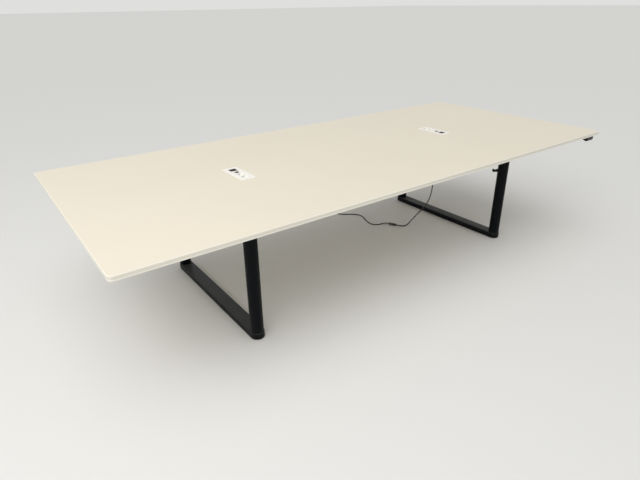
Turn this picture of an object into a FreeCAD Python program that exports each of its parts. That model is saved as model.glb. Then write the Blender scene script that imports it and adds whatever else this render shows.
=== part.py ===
import FreeCAD, Part

import math
import os
import re

import Sketcher

# Height-adjustable meeting table: a long top on four round telescopic columns.
# Millimetres, +Z up. The origin is on the floor, under the middle of the top.
# Front is the near long side, -Y. Left is -X.
# The columns are stored fully lowered.

SIZES = [
    # Fits
    ("seat_gap", 0.05, "radial gap of a round seat"),
    ("running_gap", 0.3, "radial gap of a sliding fit"),
    ("hole_gap", 0.2, "radial gap round a bolt or a screw"),
    ("journal_gap", 0.15, "radial gap round a turning spindle"),
    # Top
    ("table_height", 685, "floor to the top's surface, lowered"),
    ("top_length", 3200, "top along X"),
    ("top_width", 1400, "top along Y"),
    ("top_thick", 22, "top's thickness"),
    ("top_corner", 22, "plan radius of the top's corners"),
    ("band_thick", 2, "edge band's thickness"),
    ("band_arris", 1, "rounding of the edge band's arrises"),
    # Columns
    ("end_overhang", 660, "top's end past the column axis, along X"),
    ("side_overhang", 257, "top's side past the column axis, along Y"),
    ("outer_dia", 66, "outer tube's diameter"),
    ("outer_wall", 3, "outer tube's wall"),
    ("inner_dia", 57, "inner tube's diameter"),
    ("inner_wall", 2.5, "inner tube's wall"),
    ("inner_seat", 20, "inner tube's depth in the gear head"),
    ("inner_clear", 20, "space under the inner tube, lowered"),
    ("rest_gap", 6, "space between guide collar and gear head, lowered"),
    ("collar_flange", 4, "guide collar's flange"),
    ("collar_depth", 25, "guide collar's depth in the outer tube"),
    ("bush_length", 40, "guide bush's length on the inner tube"),
    ("bush_flange", 3, "guide bush's flange under the inner tube"),
    ("push_dia", 24, "push tube's diameter"),
    ("push_wall", 3, "push tube's wall"),
    ("nut_dia", 34, "spindle nut's flange diameter"),
    ("nut_height", 15, "spindle nut's height above the push tube"),
    ("nut_spigot", 15, "spindle nut's depth in the push tube"),
    ("nut_clear", 35, "space between the nut and the thrust bearing"),
    ("spindle_dia", 14, "spindle's diameter"),
    ("spindle_clear", 68, "space under the spindle, lowered"),
    ("shoulder_dia", 22, "spindle shoulder's diameter"),
    ("shoulder_height", 4, "spindle shoulder's height"),
    ("journal_dia", 11, "diameter of the spindle's end in the gear head"),
    ("journal_length", 24, "length of the spindle's end in the gear head"),
    ("thrust_dia", 30, "thrust bearing's diameter"),
    ("thrust_height", 10, "thrust bearing's height"),
    # Foot bars
    ("bar_width", 72, "foot bar's width"),
    ("bar_height", 32, "foot bar's height"),
    ("bar_arris", 2.5, "rounding of the foot bar's upper edge"),
    ("bar_wall", 4, "foot bar's wall"),
    ("rib_thick", 4, "foot bar's ribs"),
    ("rib_count", 5, "cross ribs under a foot bar"),
    ("pad_dia", 44, "levelling foot's pad"),
    ("pad_height", 4, "pad's height"),
    ("stud_dia", 10, "levelling foot's stud"),
    ("stud_length", 22, "stud's length above the pad"),
    ("plate_thick", 10, "column foot plate's thickness"),
    ("plate_spigot", 8, "height of the foot plate's spigot in the push tube"),
    ("screw_circle", 46, "pitch circle of the foot screws"),
    ("foot_screw_dia", 6, "foot screw's shank"),
    ("foot_screw_head", 10, "foot screw's head"),
    ("foot_screw_deep", 6, "height of the foot screw's head"),
    ("foot_screw_sunk", 1, "how far the head is sunk into the foot bar"),
    # Frame under the top
    ("steel_wall", 3, "wall of the folded channels"),
    ("arm_width", 104, "side arm's width"),
    ("arm_depth", 30, "side arm's depth"),
    ("arm_past", 155, "side arm's end past the column axis, along Y"),
    ("rail_inside", 105, "rail's axis inside the column axis, along Y"),
    ("rail_width", 50, "rail's width"),
    ("rail_depth", 30, "rail's depth"),
    ("rail_plate", 4, "end plate of a rail"),
    ("outrigger_length", 400, "outrigger's length"),
    ("head_height", 60, "gear head's height"),
    ("head_length", 96, "gear head's length, along Y"),
    ("head_gap", 0.3, "gap between the gear head and the side arm"),
    ("head_corner", 12, "rounding of the gear head's corners"),
    ("motor_dia", 46, "lift motor's diameter"),
    ("motor_length", 96, "lift motor's length"),
    ("motor_drop", 30, "motor's axis below the head's upper face"),
    ("cap_dia", 38, "motor end cap's diameter"),
    ("cap_length", 8, "motor end cap's length"),
    # Bolts and screws
    ("bolt_dia", 6, "frame bolt's shank"),
    ("bolt_head", 10, "frame bolt's head, across its corners"),
    ("bolt_head_deep", 4, "height of a frame bolt's head"),
    ("bolt_length", 13, "frame bolt's shank length"),
    ("head_bolt_y", 38, "gear head's bolts from the column axis, along Y"),
    ("rail_bolt_y", 14, "rail's bolts from the rail's middle, along Y"),
    ("top_screw_dia", 5, "top screw's shank"),
    ("top_screw_head", 10, "top screw's head"),
    ("top_screw_deep", 3, "height of the top screw's head"),
    ("top_screw_bite", 14, "top screw's depth in the top"),
    ("screw_inside", 290, "side arm's inner screws inside the column axis, along Y"),
    ("screw_past", 97, "side arm's outer screws past the column axis, along Y"),
    # Cable hook on the near right column
    ("hook_below", 100, "hook's arm below the outer tube's end"),
    ("hook_reach", 72, "hook's reach from the tube"),
    ("hook_thick", 8, "hook's strip"),
    ("hook_width", 14, "hook's width"),
    ("hook_lip", 17, "height of the hook's lip"),
    ("hook_back", 36, "height of the hook's back plate"),
    ("hook_foot", 4, "thickness of the hook's saddle"),
    # Handset
    ("handset_end", 105, "handset's middle from the top's right end"),
    ("handset_inset", 8, "handset's front face behind the top's edge"),
    ("handset_width", 86, "handset's width"),
    ("handset_depth", 62, "handset's depth"),
    ("handset_height", 27, "handset's height"),
    ("handset_corner", 7, "rounding of the handset's upright corners"),
    ("handset_arris", 3, "rounding of the handset's lower edge"),
    ("button_width", 26, "button's width"),
    ("button_height", 13, "button's height"),
    ("button_spread", 33, "distance between the buttons' middles"),
    ("button_deep", 6, "button's length into the handset"),
    ("button_proud", 2, "how far a button stands out"),
    ("button_travel", 1.5, "button's travel"),
    ("button_gap", 0.4, "gap round a button"),
    # Control box
    ("box_x", 250, "control box's middle, along X"),
    ("box_inside", 158, "control box's middle inside the back rail's axis, along Y"),
    ("box_length", 260, "control box's length"),
    ("box_width", 88, "control box's width"),
    ("box_height", 36, "control box's height"),
    ("box_corner", 8, "rounding of the control box"),
    ("ear_length", 14, "length of the control box's ears"),
    ("ear_thick", 4, "thickness of the control box's ears"),
    ("socket_row", 5, "motor sockets on the control box"),
    ("socket_pitch", 36, "pitch of the motor sockets"),
    ("socket_wide", 18, "motor socket's width"),
    ("socket_high", 12, "motor socket's height"),
    ("socket_recess", 3, "motor socket's depth"),
    # Power units
    ("unit_inside", 195, "power unit's middle inside the column axis, along X"),
    ("cover_width", 84, "power unit's cover plate, along X"),
    ("cover_length", 224, "power unit's cover plate, along Y"),
    ("cover_thick", 3, "cover plate's thickness"),
    ("cover_corner", 6, "plan radius of the cover plate"),
    ("cover_bevel", 1.4, "bevel round the cover plate"),
    ("module_width", 46, "module's width"),
    ("module_pitch", 45, "module's length along the unit"),
    ("module_count", 4, "modules in a unit"),
    ("module_height", 22, "module's height"),
    ("module_drop", 1, "module's face below the cover's face"),
    ("module_gap", 0.3, "gap round a module"),
    ("housing_width", 70, "housing's width"),
    ("housing_length", 206, "housing's length"),
    ("housing_depth", 68, "housing's depth below the cover plate"),
    ("housing_corner", 5, "rounding of the housing"),
    ("cutout_gap", 1, "gap between housing and cut-out"),
    ("gland_dia", 22, "gland boss's diameter"),
    ("gland_height", 6, "gland boss's height"),
    ("well_dia", 39, "mains socket's well"),
    ("well_depth", 7, "well's depth"),
    ("pin_dia", 5, "pin hole's diameter"),
    ("pin_spread", 19, "distance between the pin holes"),
    ("pin_depth", 6, "pin hole's depth"),
    ("port_width", 13, "data port's width"),
    ("port_length", 10, "data port's length, along the unit"),
    ("port_depth", 13, "data port's depth"),
    ("port_spread", 20, "distance between the data ports"),
    ("usb_width", 13, "charging slot's width"),
    ("usb_length", 5, "charging slot's length"),
    ("usb_depth", 9, "charging slot's depth"),
    ("usb_tongue", 2, "tongue in a charging slot"),
    ("usb_spread", 7.4, "distance between the charging slots"),
    # Lead
    ("cord_dia", 7, "lead's diameter"),
    ("cord_lie", 0.1, "space under a lying lead"),
    ("relief_dia", 14, "strain relief's upper diameter"),
    ("relief_end_dia", 9.5, "strain relief's lower diameter"),
    ("relief_length", 32, "strain relief's length"),
    ("coupler_entry", 20, "the lead's straight stretch at each end of the coupler"),
    ("coupler_dia", 18, "inline coupler's diameter"),
    ("coupler_length", 30, "length of each half of the coupler"),
    ("coupler_nose", 10, "coupler's tapered nose"),
    ("coupler_ring", 12, "diameter of the coupler's mating ring"),
    ("coil_x", 269, "coil's middle, along X"),
    ("coil_y", 640, "coil's middle, along Y"),
    ("coil_radius", 48, "coil's outer half turn"),
    ("coil_pitch", 8, "distance between a coil's turns side by side"),
    ("coil_climb", 7.7, "height between the coil's layers"),
    ("coil_halves", 5, "half turns in a layer of the coil"),
    ("coil_tail", 36, "straight end between the coil and the plug"),
    ("plug_width", 38, "mains plug's width"),
    ("plug_length", 36, "mains plug's body"),
    ("plug_nose", 14, "mains plug's tapered nose"),
    ("plug_corner", 5, "rounding of the mains plug's corners"),
    ("plug_pin_dia", 4.8, "mains plug's pin"),
    ("plug_pin_length", 19, "mains plug's pin length"),
]

# Heights above the floor and other places that follow from the sizes.
PLACES = {
    "column_x": "top_length / 2 - end_overhang",
    "column_y": "top_width / 2 - side_overhang",
    "arm_length": "2 * (column_y + arm_past)",
    "rail_y": "column_y - rail_inside",
    "arm_screw_near": "column_y - screw_inside",
    "arm_screw_far": "column_y + screw_past",
    "box_y": "rail_y - box_inside",
    "handset_x": "top_length / 2 - handset_end",
    "unit_x": "column_x - unit_inside",
    "under": "table_height - top_thick",
    "head_top": "under - steel_wall",
    "head_bottom": "head_top - head_height",
    "outer_top": "head_bottom - rest_gap - collar_flange",
    "hook_height": "outer_top - hook_below",
    "pin_place": "pin_spread * sqrt(2) / 4",
    "bar_bottom": "pad_height",
    "bar_top": "pad_height + bar_height",
    "plate_top": "bar_top + plate_thick",
    "inner_bottom": "plate_top + inner_clear",
    "inner_top": "head_bottom + inner_seat",
    "outer_bore": "outer_dia / 2 - outer_wall",
    "inner_bore": "inner_dia / 2 - inner_wall",
    "push_bore": "push_dia / 2 - push_wall",
    "thrust_bottom": "inner_top - thrust_height",
    "nut_top": "thrust_bottom - shoulder_height - nut_clear",
    "push_top": "nut_top - nut_height",
    "spindle_bottom": "plate_top + spindle_clear",
    "bar_length": "2 * column_y + bar_width",
    "arm_inner": "column_x - arm_width / 2",
    "arm_outer": "column_x + arm_width / 2",
    "bolt_z": "under - rail_depth / 2",
    "handset_front": "handset_inset - top_width / 2",
    "button_y": "handset_front - button_proud",
    "button_z": "under - handset_height / 2",
    "module_top": "table_height + cover_thick - module_drop",
    "window_width": "module_width + 2 * module_gap",
    "window_length": "module_count * module_pitch + 2 * module_gap",
    "housing_bottom": "table_height - housing_depth",
    "gland_bottom": "housing_bottom - gland_height",
    "relief_bottom": "gland_bottom - relief_length",
    "lying": "cord_dia / 2 + cord_lie",
}

CORNERS = [("front_left", -1, -1), ("front_right", 1, -1), ("back_left", -1, 1), ("back_right", 1, 1)]
SIDES = [("left", -1), ("right", 1)]
SCREW_ANGLES = (90, 210, 330)

# The lead's route, chosen by hand, as (x, y, height above where the lead lies on the floor):
# the drop from the right power unit to the coupler, and the stretch from the coupler to the coil.
DROP_ROUTE = [
    (745, 0, 576), (746, -3, 500), (748, -9, 420), (748, -14, 340), (746, -14, 265),
    (743, -6, 200), (736, 13, 142), (721, 36, 96), (698, 54, 57), (667, 62, 26),
    (633, 61, 8), (601, 54, 0.6), (569, 53, 1.6),
]
COUPLER_ENDS = [(534.5, 94, 5.5), (508, 149, 5.5)]
FLOOR_ROUTE = [
    (473, 186, 0), (445, 188, 0), (422, 203, 0),
    (410, 228, 0), (411, 259, 0), (421, 293, 0), (435, 329, 0), (450, 366, 0),
    (454, 404, 0), (438, 437, 0), (408, 463, 0), (375, 488, 0), (347, 518, 0),
    (328, 555, 0), (317, 595, 0), (317, 633, 0),
]

doc = FreeCAD.newDocument("MeetingTable")
sheet = doc.addObject("Spreadsheet::Sheet", "Sizes")
for row, (alias, amount, note) in enumerate(SIZES, start=1):
    sheet.set("A%d" % row, note)
    sheet.set("B%d" % row, str(amount))
    sheet.setAlias("B%d" % row, alias)
doc.recompute()

ALIASES = {alias for alias, amount, note in SIZES}
Vector = FreeCAD.Vector
nodes = []


def formula(text):
    """Write a sum of named sizes and places as an expression on the sheet."""

    def name(match):
        word = match.group(0)
        if word in PLACES:
            return "(" + formula(PLACES[word]) + ")"
        return "Sizes." + word if word in ALIASES else word

    return re.sub(r"[a-z_]+", name, text)


def value(text):
    """The number that a sum of named sizes comes to now."""
    return float(sheet.evalExpression(formula(text)))


def vector(x, y, z):
    """A point from three sums of named sizes."""
    return Vector(value(x), value(y), value(z))


def is_upright(edge):
    """True for a straight edge along Z."""
    ends = [vertex.Point for vertex in edge.Vertexes]
    return len(ends) == 2 and math.hypot(ends[0].x - ends[1].x, ends[0].y - ends[1].y) < 1e-6


def lies_at(axis, *levels):
    """A test for edges that lie wholly at one of some places along an axis of their body."""
    places = [value(text) for text in levels]

    def test(edge):
        box = edge.BoundBox
        low, high = getattr(box, axis + "Min"), getattr(box, axis + "Max")
        return any(abs(low - place) < 1e-4 and abs(high - place) < 1e-4 for place in places)

    return test


class Drawing:
    """A sketch on one of a body's own origin planes, drawn from sums of named sizes."""

    def __init__(self, body, plane, offset="0"):
        self.sketch = body.newObject("Sketcher::SketchObject", body.Name + "Sketch")
        origin = [item for item in body.Origin.OriginFeatures if item.Role == plane]
        self.sketch.AttachmentSupport = (origin[0], [""])
        self.sketch.MapMode = "FlatFace"
        self.sketch.setExpression("AttachmentOffset.Base.z", formula(offset))

    def _hold(self, kind, geometry, point, text):
        datum = value(text)
        if point is None:
            index = self.sketch.addConstraint(Sketcher.Constraint(kind, geometry, datum))
        else:
            index = self.sketch.addConstraint(Sketcher.Constraint(kind, -1, 1, geometry, point, datum))
        self.sketch.setExpression("Constraints[%d]" % index, formula(text))

    def outline(self, points):
        """A closed outline of straight lines through (x, y) points."""
        corners = [Vector(value(x), value(y), 0) for x, y in points]
        lines = []
        for start, end in zip(corners, corners[1:] + corners[:1]):
            lines.append(self.sketch.addGeometry(Part.LineSegment(start, end)))
        for line, after in zip(lines, lines[1:] + lines[:1]):
            self.sketch.addConstraint(Sketcher.Constraint("Coincident", line, 2, after, 1))
        for line, (x, y) in zip(lines, points):
            self._hold("DistanceX", line, 1, x)
            self._hold("DistanceY", line, 1, y)
        return self

    def rectangle(self, width, height, x="0", y="0"):
        """A rectangle round the point x, y."""
        left, right = "%s - (%s) / 2" % (x, width), "%s + (%s) / 2" % (x, width)
        low, high = "%s - (%s) / 2" % (y, height), "%s + (%s) / 2" % (y, height)
        return self.outline([(left, low), (right, low), (right, high), (left, high)])

    def circle(self, radius, x="0", y="0"):
        """A circle round the point x, y."""
        centre = Vector(value(x), value(y), 0)
        circle = self.sketch.addGeometry(Part.Circle(centre, Vector(0, 0, 1), value(radius)))
        self._hold("DistanceX", circle, 3, x)
        self._hold("DistanceY", circle, 3, y)
        self._hold("Radius", circle, None, radius)
        return self

    def rounded(self, width, height, radius):
        """A rectangle round the origin with round corners."""
        sketch, up, size = self.sketch, Vector(0, 0, 1), value(radius)
        wide, high = value("(%s) / 2" % width), value("(%s) / 2" % height)
        signs = [(1, 1), (-1, 1), (-1, -1), (1, -1)]
        ring = []
        for quarter, (side, end) in enumerate(signs):
            x, y = side * (wide - size), end * (high - size)
            angle = quarter * math.pi / 2
            corner = Part.Circle(Vector(x, y, 0), up, size)
            ring.append(sketch.addGeometry(Part.ArcOfCircle(corner, angle, angle + math.pi / 2)))
            if side == end:
                start, stop = Vector(x, end * high, 0), Vector(-x, end * high, 0)
            else:
                start, stop = Vector(side * wide, y, 0), Vector(side * wide, -y, 0)
            ring.append(sketch.addGeometry(Part.LineSegment(start, stop)))
        for piece, after in zip(ring, ring[1:] + ring[:1]):
            sketch.addConstraint(Sketcher.Constraint("Tangent", piece, 2, after, 1))
        for arc in ring[2::2]:
            sketch.addConstraint(Sketcher.Constraint("Equal", ring[0], arc))
        for line, (side, end) in zip(ring[1::2], signs):
            level = side == end
            sketch.addConstraint(Sketcher.Constraint("Horizontal" if level else "Vertical", line))
            kind, size_text = ("DistanceY", height) if level else ("DistanceX", width)
            self._hold(kind, line, 1, "%d * (%s) / 2" % (side, size_text))
        self._hold("Radius", ring[0], None, radius)
        return self

    def slot(self, radius, reach):
        """A slot along the sketch's Y whose round ends centre on -reach and reach."""
        size, end = value(radius), value(reach)
        sketch, up = self.sketch, Vector(0, 0, 1)
        right = sketch.addGeometry(Part.LineSegment(Vector(size, -end, 0), Vector(size, end, 0)))
        far = sketch.addGeometry(Part.ArcOfCircle(Part.Circle(Vector(0, end, 0), up, size), 0, math.pi))
        left = sketch.addGeometry(Part.LineSegment(Vector(-size, end, 0), Vector(-size, -end, 0)))
        round_end = Part.Circle(Vector(0, -end, 0), up, size)
        near = sketch.addGeometry(Part.ArcOfCircle(round_end, math.pi, 2 * math.pi))
        for piece, after in ((right, far), (far, left), (left, near), (near, right)):
            sketch.addConstraint(Sketcher.Constraint("Tangent", piece, 2, after, 1))
        sketch.addConstraint(Sketcher.Constraint("Equal", far, near))
        self._hold("DistanceX", far, 3, "0")
        self._hold("DistanceY", far, 3, reach)
        self._hold("DistanceX", near, 3, "0")
        self._hold("DistanceY", near, 3, "-(%s)" % reach)
        self._hold("Radius", far, None, radius)
        return self


class Piece:
    """One sub-part: a body built up from sketched features."""

    def __init__(self, label, x="0", y="0", z="0", node=True):
        self.body = doc.addObject("PartDesign::Body", label)
        self.body.Label = label
        for axis, text in (("x", x), ("y", y), ("z", z)):
            self.body.setExpression("Placement.Base." + axis, formula(text))
        if node:
            nodes.append(self.body)

    def draw(self, plane="XY_Plane", offset="0"):
        """Start a sketch on an origin plane, moved along the plane's normal."""
        return Drawing(self.body, plane, offset)

    def _feature(self, kind, drawing):
        feature = self.body.newObject("PartDesign::" + kind, self.body.Name + kind)
        feature.Profile = drawing.sketch
        drawing.sketch.Visibility = False
        return feature

    def pad(self, drawing, length, both=False):
        """Raise a sketch along its normal, or to both sides of it."""
        feature = self._feature("Pad", drawing)
        feature.setExpression("Length", formula(length))
        if both:
            feature.SideType = "Symmetric"
        doc.recompute()
        return self

    def pocket(self, drawing, depth=None, up=False):
        """Cut a sketch into the body: down from it, up from it, or right through both ways."""
        before = self.body.Shape.Volume
        feature = self._feature("Pocket", drawing)
        feature.Reversed = up
        if depth is None:
            feature.Type = "ThroughAll"
            feature.SideType = "Symmetric"
        else:
            feature.setExpression("Length", formula(depth))
        doc.recompute()
        if not self.body.Shape.Volume < before:
            raise RuntimeError(self.body.Label + ": a pocket cuts nothing")
        return self

    def revolve(self, drawing):
        """Turn a sketch on the XZ plane about the body's Z axis."""
        feature = self._feature("Revolution", drawing)
        feature.ReferenceAxis = (drawing.sketch, ["V_Axis"])
        doc.recompute()
        return self

    def dress(self, kind, prop, size, test):
        """Fillet or chamfer every edge of the body that passes a test."""
        tip = self.body.Tip
        edges = tip.Shape.Edges
        names = ["Edge%d" % (index + 1) for index, edge in enumerate(edges) if test(edge)]
        if not names:
            raise RuntimeError(self.body.Label + ": no edge to " + kind)
        feature = self.body.newObject("PartDesign::" + kind, self.body.Name + kind)
        feature.Base = (tip, names)
        feature.setExpression(prop, formula(size))
        doc.recompute()
        return self

    def fillet(self, radius, test):
        """Round edges."""
        return self.dress("Fillet", "Radius", radius, test)

    def chamfer(self, size, test):
        """Bevel edges."""
        return self.dress("Chamfer", "Size", size, test)


def ring(label, outer, bore, height, x, y, z, node=True):
    """A plain tube or disc with a bore, standing on z."""
    piece = Piece(label, x, y, z, node)
    return piece.pad(piece.draw().circle(outer).circle(bore), height)


def turned(label, profile, x="0", y="0", z="0", node=True):
    """A turned piece from the (radius, height) points of its half section."""
    piece = Piece(label, x, y, z, node)
    return piece.revolve(piece.draw("XZ_Plane").outline(profile))


def group(label, template, places):
    """One node that holds a copy of a template at each (point, rotation)."""
    copies = []
    for point, rotation in places:
        copy = template.body.Shape.copy()
        copy.Placement = FreeCAD.Placement(point, rotation).multiply(copy.Placement)
        copies.append(copy)
    node = doc.addObject("Part::Feature", label)
    node.Label = label
    node.Shape = Part.makeCompound(copies)
    nodes.append(node)
    return node


def own_feature(label, shape):
    """A node for a solid that is swept or cut with Part's own functions."""
    node = doc.addObject("Part::Feature", label)
    node.Label = label
    node.Shape = shape
    nodes.append(node)
    return node


NO_TURN = FreeCAD.Rotation()
TO_RIGHT = FreeCAD.Rotation(Vector(0, 0, 1), Vector(1, 0, 0))
TO_LEFT = FreeCAD.Rotation(Vector(0, 0, 1), Vector(-1, 0, 0))
HALF_TURN = FreeCAD.Rotation(Vector(0, 0, 1), 180)


def at_columns(z):
    """The places on the four column axes at a height."""
    places = []
    for name, side, end in CORNERS:
        places.append((vector("%d * column_x" % side, "%d * column_y" % end, z), NO_TURN))
    return places


def top_screw_points():
    """The (x, y) sums of every screw into the top: four through each side arm, one through each outrigger."""
    points = []
    for side in (-1, 1):
        for end in (-1, 1):
            points.append(("%d * column_x" % side, "%d * arm_screw_near" % end))
            points.append(("%d * column_x" % side, "%d * arm_screw_far" % end))
            points.append(("%d * (arm_outer + outrigger_length / 2)" % side, "%d * rail_y" % end))
    return points


def make_top():
    """The laminated panel with its two cut-outs, and the band round its edge."""
    inner = ("top_length - 2 * band_thick", "top_width - 2 * band_thick", "top_corner - band_thick")
    panel = Piece("tabletop", z="under")
    panel.pad(panel.draw().rounded(*inner), "top_thick")
    cutouts = panel.draw(offset="top_thick")
    for name, side in SIDES:
        width, length = "housing_width + 2 * cutout_gap", "housing_length + 2 * cutout_gap"
        cutouts.rectangle(width, length, "%d * unit_x" % side)
    panel.pocket(cutouts)
    pilots = panel.draw()
    for x, y in top_screw_points():
        pilots.circle("top_screw_dia / 2 + seat_gap", x, y)
    panel.pocket(pilots, "top_screw_bite + seat_gap", up=True)

    band = Piece("edge_band", z="under")
    band.pad(band.draw().rounded("top_length", "top_width", "top_corner"), "top_thick")
    band.fillet("band_arris", lies_at("Z", "0", "top_thick"))
    band.pocket(band.draw().rounded(*inner))


def channel_outline(drawing, width, depth):
    """The section of a folded channel, open below, hung from the line at depth."""
    half, inner = "%s / 2" % width, "%s / 2 - steel_wall" % width
    web = "%s - steel_wall" % depth
    return drawing.outline([
        ("-(%s)" % half, "0"), ("-(%s)" % half, depth), (half, depth), (half, "0"),
        (inner, "0"), (inner, web), ("-(%s)" % inner, web), ("-(%s)" % inner, "0"),
    ])


def make_side_arms():
    """Two folded channels along Y, into which the gear heads bolt."""
    for name, side in SIDES:
        arm = Piece("side_arm_" + name, "%d * column_x" % side, z="under - arm_depth")
        arm.pad(channel_outline(arm.draw("XZ_Plane"), "arm_width", "arm_depth"), "arm_length", both=True)
        bolt_radius = "bolt_dia / 2 + hole_gap"
        height = "arm_depth - rail_depth / 2"
        rail_holes = arm.draw("YZ_Plane")
        head_holes = arm.draw("YZ_Plane", "%d * arm_width / 2" % side)
        for end in (-1, 1):
            for step in (-1, 1):
                rail_holes.circle(bolt_radius, "%d * rail_y + %d * rail_bolt_y" % (end, step), height)
                head_holes.circle(bolt_radius, "%d * column_y + %d * head_bolt_y" % (end, step), height)
        arm.pocket(rail_holes)
        arm.pocket(head_holes, "steel_wall", up=side < 0)
        screws = arm.draw(offset="arm_depth")
        for end in (-1, 1):
            screws.circle("top_screw_dia / 2 + hole_gap", "0", "%d * arm_screw_near" % end)
            screws.circle("top_screw_dia / 2 + hole_gap", "0", "%d * arm_screw_far" % end)
        arm.pocket(screws, "steel_wall")


def rail_body(label, length, y, screw_places, drilled_ends, node=True):
    """A folded channel along X with an end plate at each end, drilled where it is bolted on."""
    rail = Piece(label, "0", y, "under - rail_depth", node)
    rail.pad(channel_outline(rail.draw("YZ_Plane"), "rail_width", "rail_depth"), length, both=True)
    for start in ("-(%s) / 2" % length, "(%s) / 2 - rail_plate" % length):
        plate = rail.draw("YZ_Plane", start)
        rail.pad(plate.rectangle("rail_width", "rail_depth", "0", "rail_depth / 2"), "rail_plate")
    for end in drilled_ends:
        holes = rail.draw("YZ_Plane", "%d * (%s) / 2" % (end, length))
        for step in (-1, 1):
            holes.circle("bolt_dia / 2 + hole_gap", "%d * rail_bolt_y" % step, "rail_depth / 2")
        rail.pocket(holes, "rail_plate", up=end < 0)
    if screw_places:
        screws = rail.draw(offset="rail_depth")
        for x in screw_places:
            screws.circle("top_screw_dia / 2 + hole_gap", x, "0")
        rail.pocket(screws, "steel_wall")
    return rail


def make_rails():
    """Two long rails between the side arms, and four outriggers past them."""
    for name, end in (("front", -1), ("back", 1)):
        rail_body("long_rail_" + name, "2 * arm_inner", "%d * rail_y" % end, (), (-1, 1))
    outrigger = rail_body("outrigger_template", "outrigger_length", "0", ("0",), (-1,), node=False)
    places = []
    for side, turn in ((-1, HALF_TURN), (1, NO_TURN)):
        for end in (-1, 1):
            middle = vector("%d * (arm_outer + outrigger_length / 2)" % side, "%d * rail_y" % end, "0")
            places.append((middle, turn))
    group("outriggers", outrigger, places)


def make_gear_heads():
    """The castings that take each column's inner tube, spindle and motor."""
    width = "arm_width - 2 * steel_wall - 2 * head_gap"
    for name, side, end in CORNERS:
        head = Piece("gear_head_" + name, "%d * column_x" % side, "%d * column_y" % end, "head_bottom")
        head.pad(head.draw().rectangle(width, "head_length"), "head_height")
        head.fillet("head_corner", is_upright)
        head.pocket(head.draw().circle("inner_dia / 2 + seat_gap"), "inner_seat", up=True)
        journal = head.draw().circle("journal_dia / 2 + journal_gap")
        head.pocket(journal, "inner_seat + journal_length + rest_gap", up=True)
        threads = head.draw("YZ_Plane", "%d * (%s) / 2" % (side, width))
        for step in (-1, 1):
            height = "head_height + steel_wall - rail_depth / 2"
            threads.circle("bolt_dia / 2 + seat_gap", "%d * head_bolt_y" % step, height)
        head.pocket(threads, "bolt_length", up=side < 0)


def make_motors():
    """Four lift motors, lying along Y inside the side arms, each against its gear head."""
    motor = turned("motor_template", [
        ("0", "0"), ("motor_dia / 2", "0"), ("motor_dia / 2", "motor_length"),
        ("cap_dia / 2", "motor_length"), ("cap_dia / 2", "motor_length + cap_length"),
        ("0", "motor_length + cap_length"),
    ], node=False)
    places = []
    for name, side, end in CORNERS:
        towards = FreeCAD.Rotation(Vector(0, 0, 1), Vector(0, -end, 0))
        start = "%d * (column_y - head_length / 2)" % end
        places.append((vector("%d * column_x" % side, start, "head_top - motor_drop"), towards))
    group("lift_motors", motor, places)


def make_columns():
    """The telescopic tubes with their guides, and the spindle drive inside each."""
    for name, side, end in CORNERS:
        x, y = "%d * column_x" % side, "%d * column_y" % end
        ring("outer_tube_" + name, "outer_dia / 2", "outer_bore", "outer_top - bar_top", x, y, "bar_top")
        height = "inner_top - inner_bottom"
        ring("inner_tube_" + name, "inner_dia / 2", "inner_bore", height, x, y, "inner_bottom")
        turned("spindle_" + name, spindle_profile(), x, y, "spindle_bottom")

    slide = "inner_dia / 2 + running_gap"
    collar = turned("collar_template", [
        (slide, "0"), ("outer_bore - seat_gap", "0"), ("outer_bore - seat_gap", "collar_depth"),
        ("outer_dia / 2", "collar_depth"), ("outer_dia / 2", "collar_depth + collar_flange"),
        (slide, "collar_depth + collar_flange"),
    ], node=False)
    group("guide_collars", collar, at_columns("outer_top - collar_depth"))

    bush = turned("bush_template", [
        ("inner_bore", "0"), ("outer_bore - running_gap", "0"),
        ("outer_bore - running_gap", "bush_flange + bush_length"),
        ("inner_dia / 2", "bush_flange + bush_length"), ("inner_dia / 2", "bush_flange"),
        ("inner_bore", "bush_flange"),
    ], node=False)
    group("guide_bushes", bush, at_columns("inner_bottom - bush_flange"))

    height = "push_top - plate_top"
    push = ring("push_template", "push_dia / 2", "push_bore", height, "0", "0", "0", node=False)
    group("push_tubes", push, at_columns("plate_top"))

    thread = "spindle_dia / 2 + journal_gap"
    nut = turned("nut_template", [
        (thread, "0"), ("push_bore - seat_gap", "0"), ("push_bore - seat_gap", "nut_spigot"),
        ("nut_dia / 2", "nut_spigot"), ("nut_dia / 2", "nut_spigot + nut_height"),
        (thread, "nut_spigot + nut_height"),
    ], node=False)
    group("spindle_nuts", nut, at_columns("push_top - nut_spigot"))

    race = "spindle_dia / 2 + journal_gap"
    bearing = ring("bearing_template", "thrust_dia / 2", race, "thrust_height", "0", "0", "0", node=False)
    group("thrust_bearings", bearing, at_columns("thrust_bottom"))


def spindle_profile():
    """Half section of a spindle: thread, shoulder under the bearing, and journal in the gear head."""
    shoulder = "thrust_bottom - journal_gap - shoulder_height - spindle_bottom"
    seat = "thrust_bottom - journal_gap - spindle_bottom"
    neck = "inner_top - journal_gap - spindle_bottom"
    return [
        ("0", "0"), ("spindle_dia / 2", "0"), ("spindle_dia / 2", shoulder),
        ("shoulder_dia / 2", shoulder), ("shoulder_dia / 2", seat), ("spindle_dia / 2", seat),
        ("spindle_dia / 2", neck), ("journal_dia / 2", neck),
        ("journal_dia / 2", neck + " + journal_length"), ("0", neck + " + journal_length"),
    ]


def screw_circle_points(drawing, radius, y="0"):
    """The foot screw holes of a column, drawn round a point on a bar."""
    for angle in SCREW_ANGLES:
        along = "%s + screw_circle / 2 * sin(%d)" % (y, angle)
        drawing.circle(radius, "screw_circle / 2 * cos(%d)" % angle, along)
    return drawing


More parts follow.
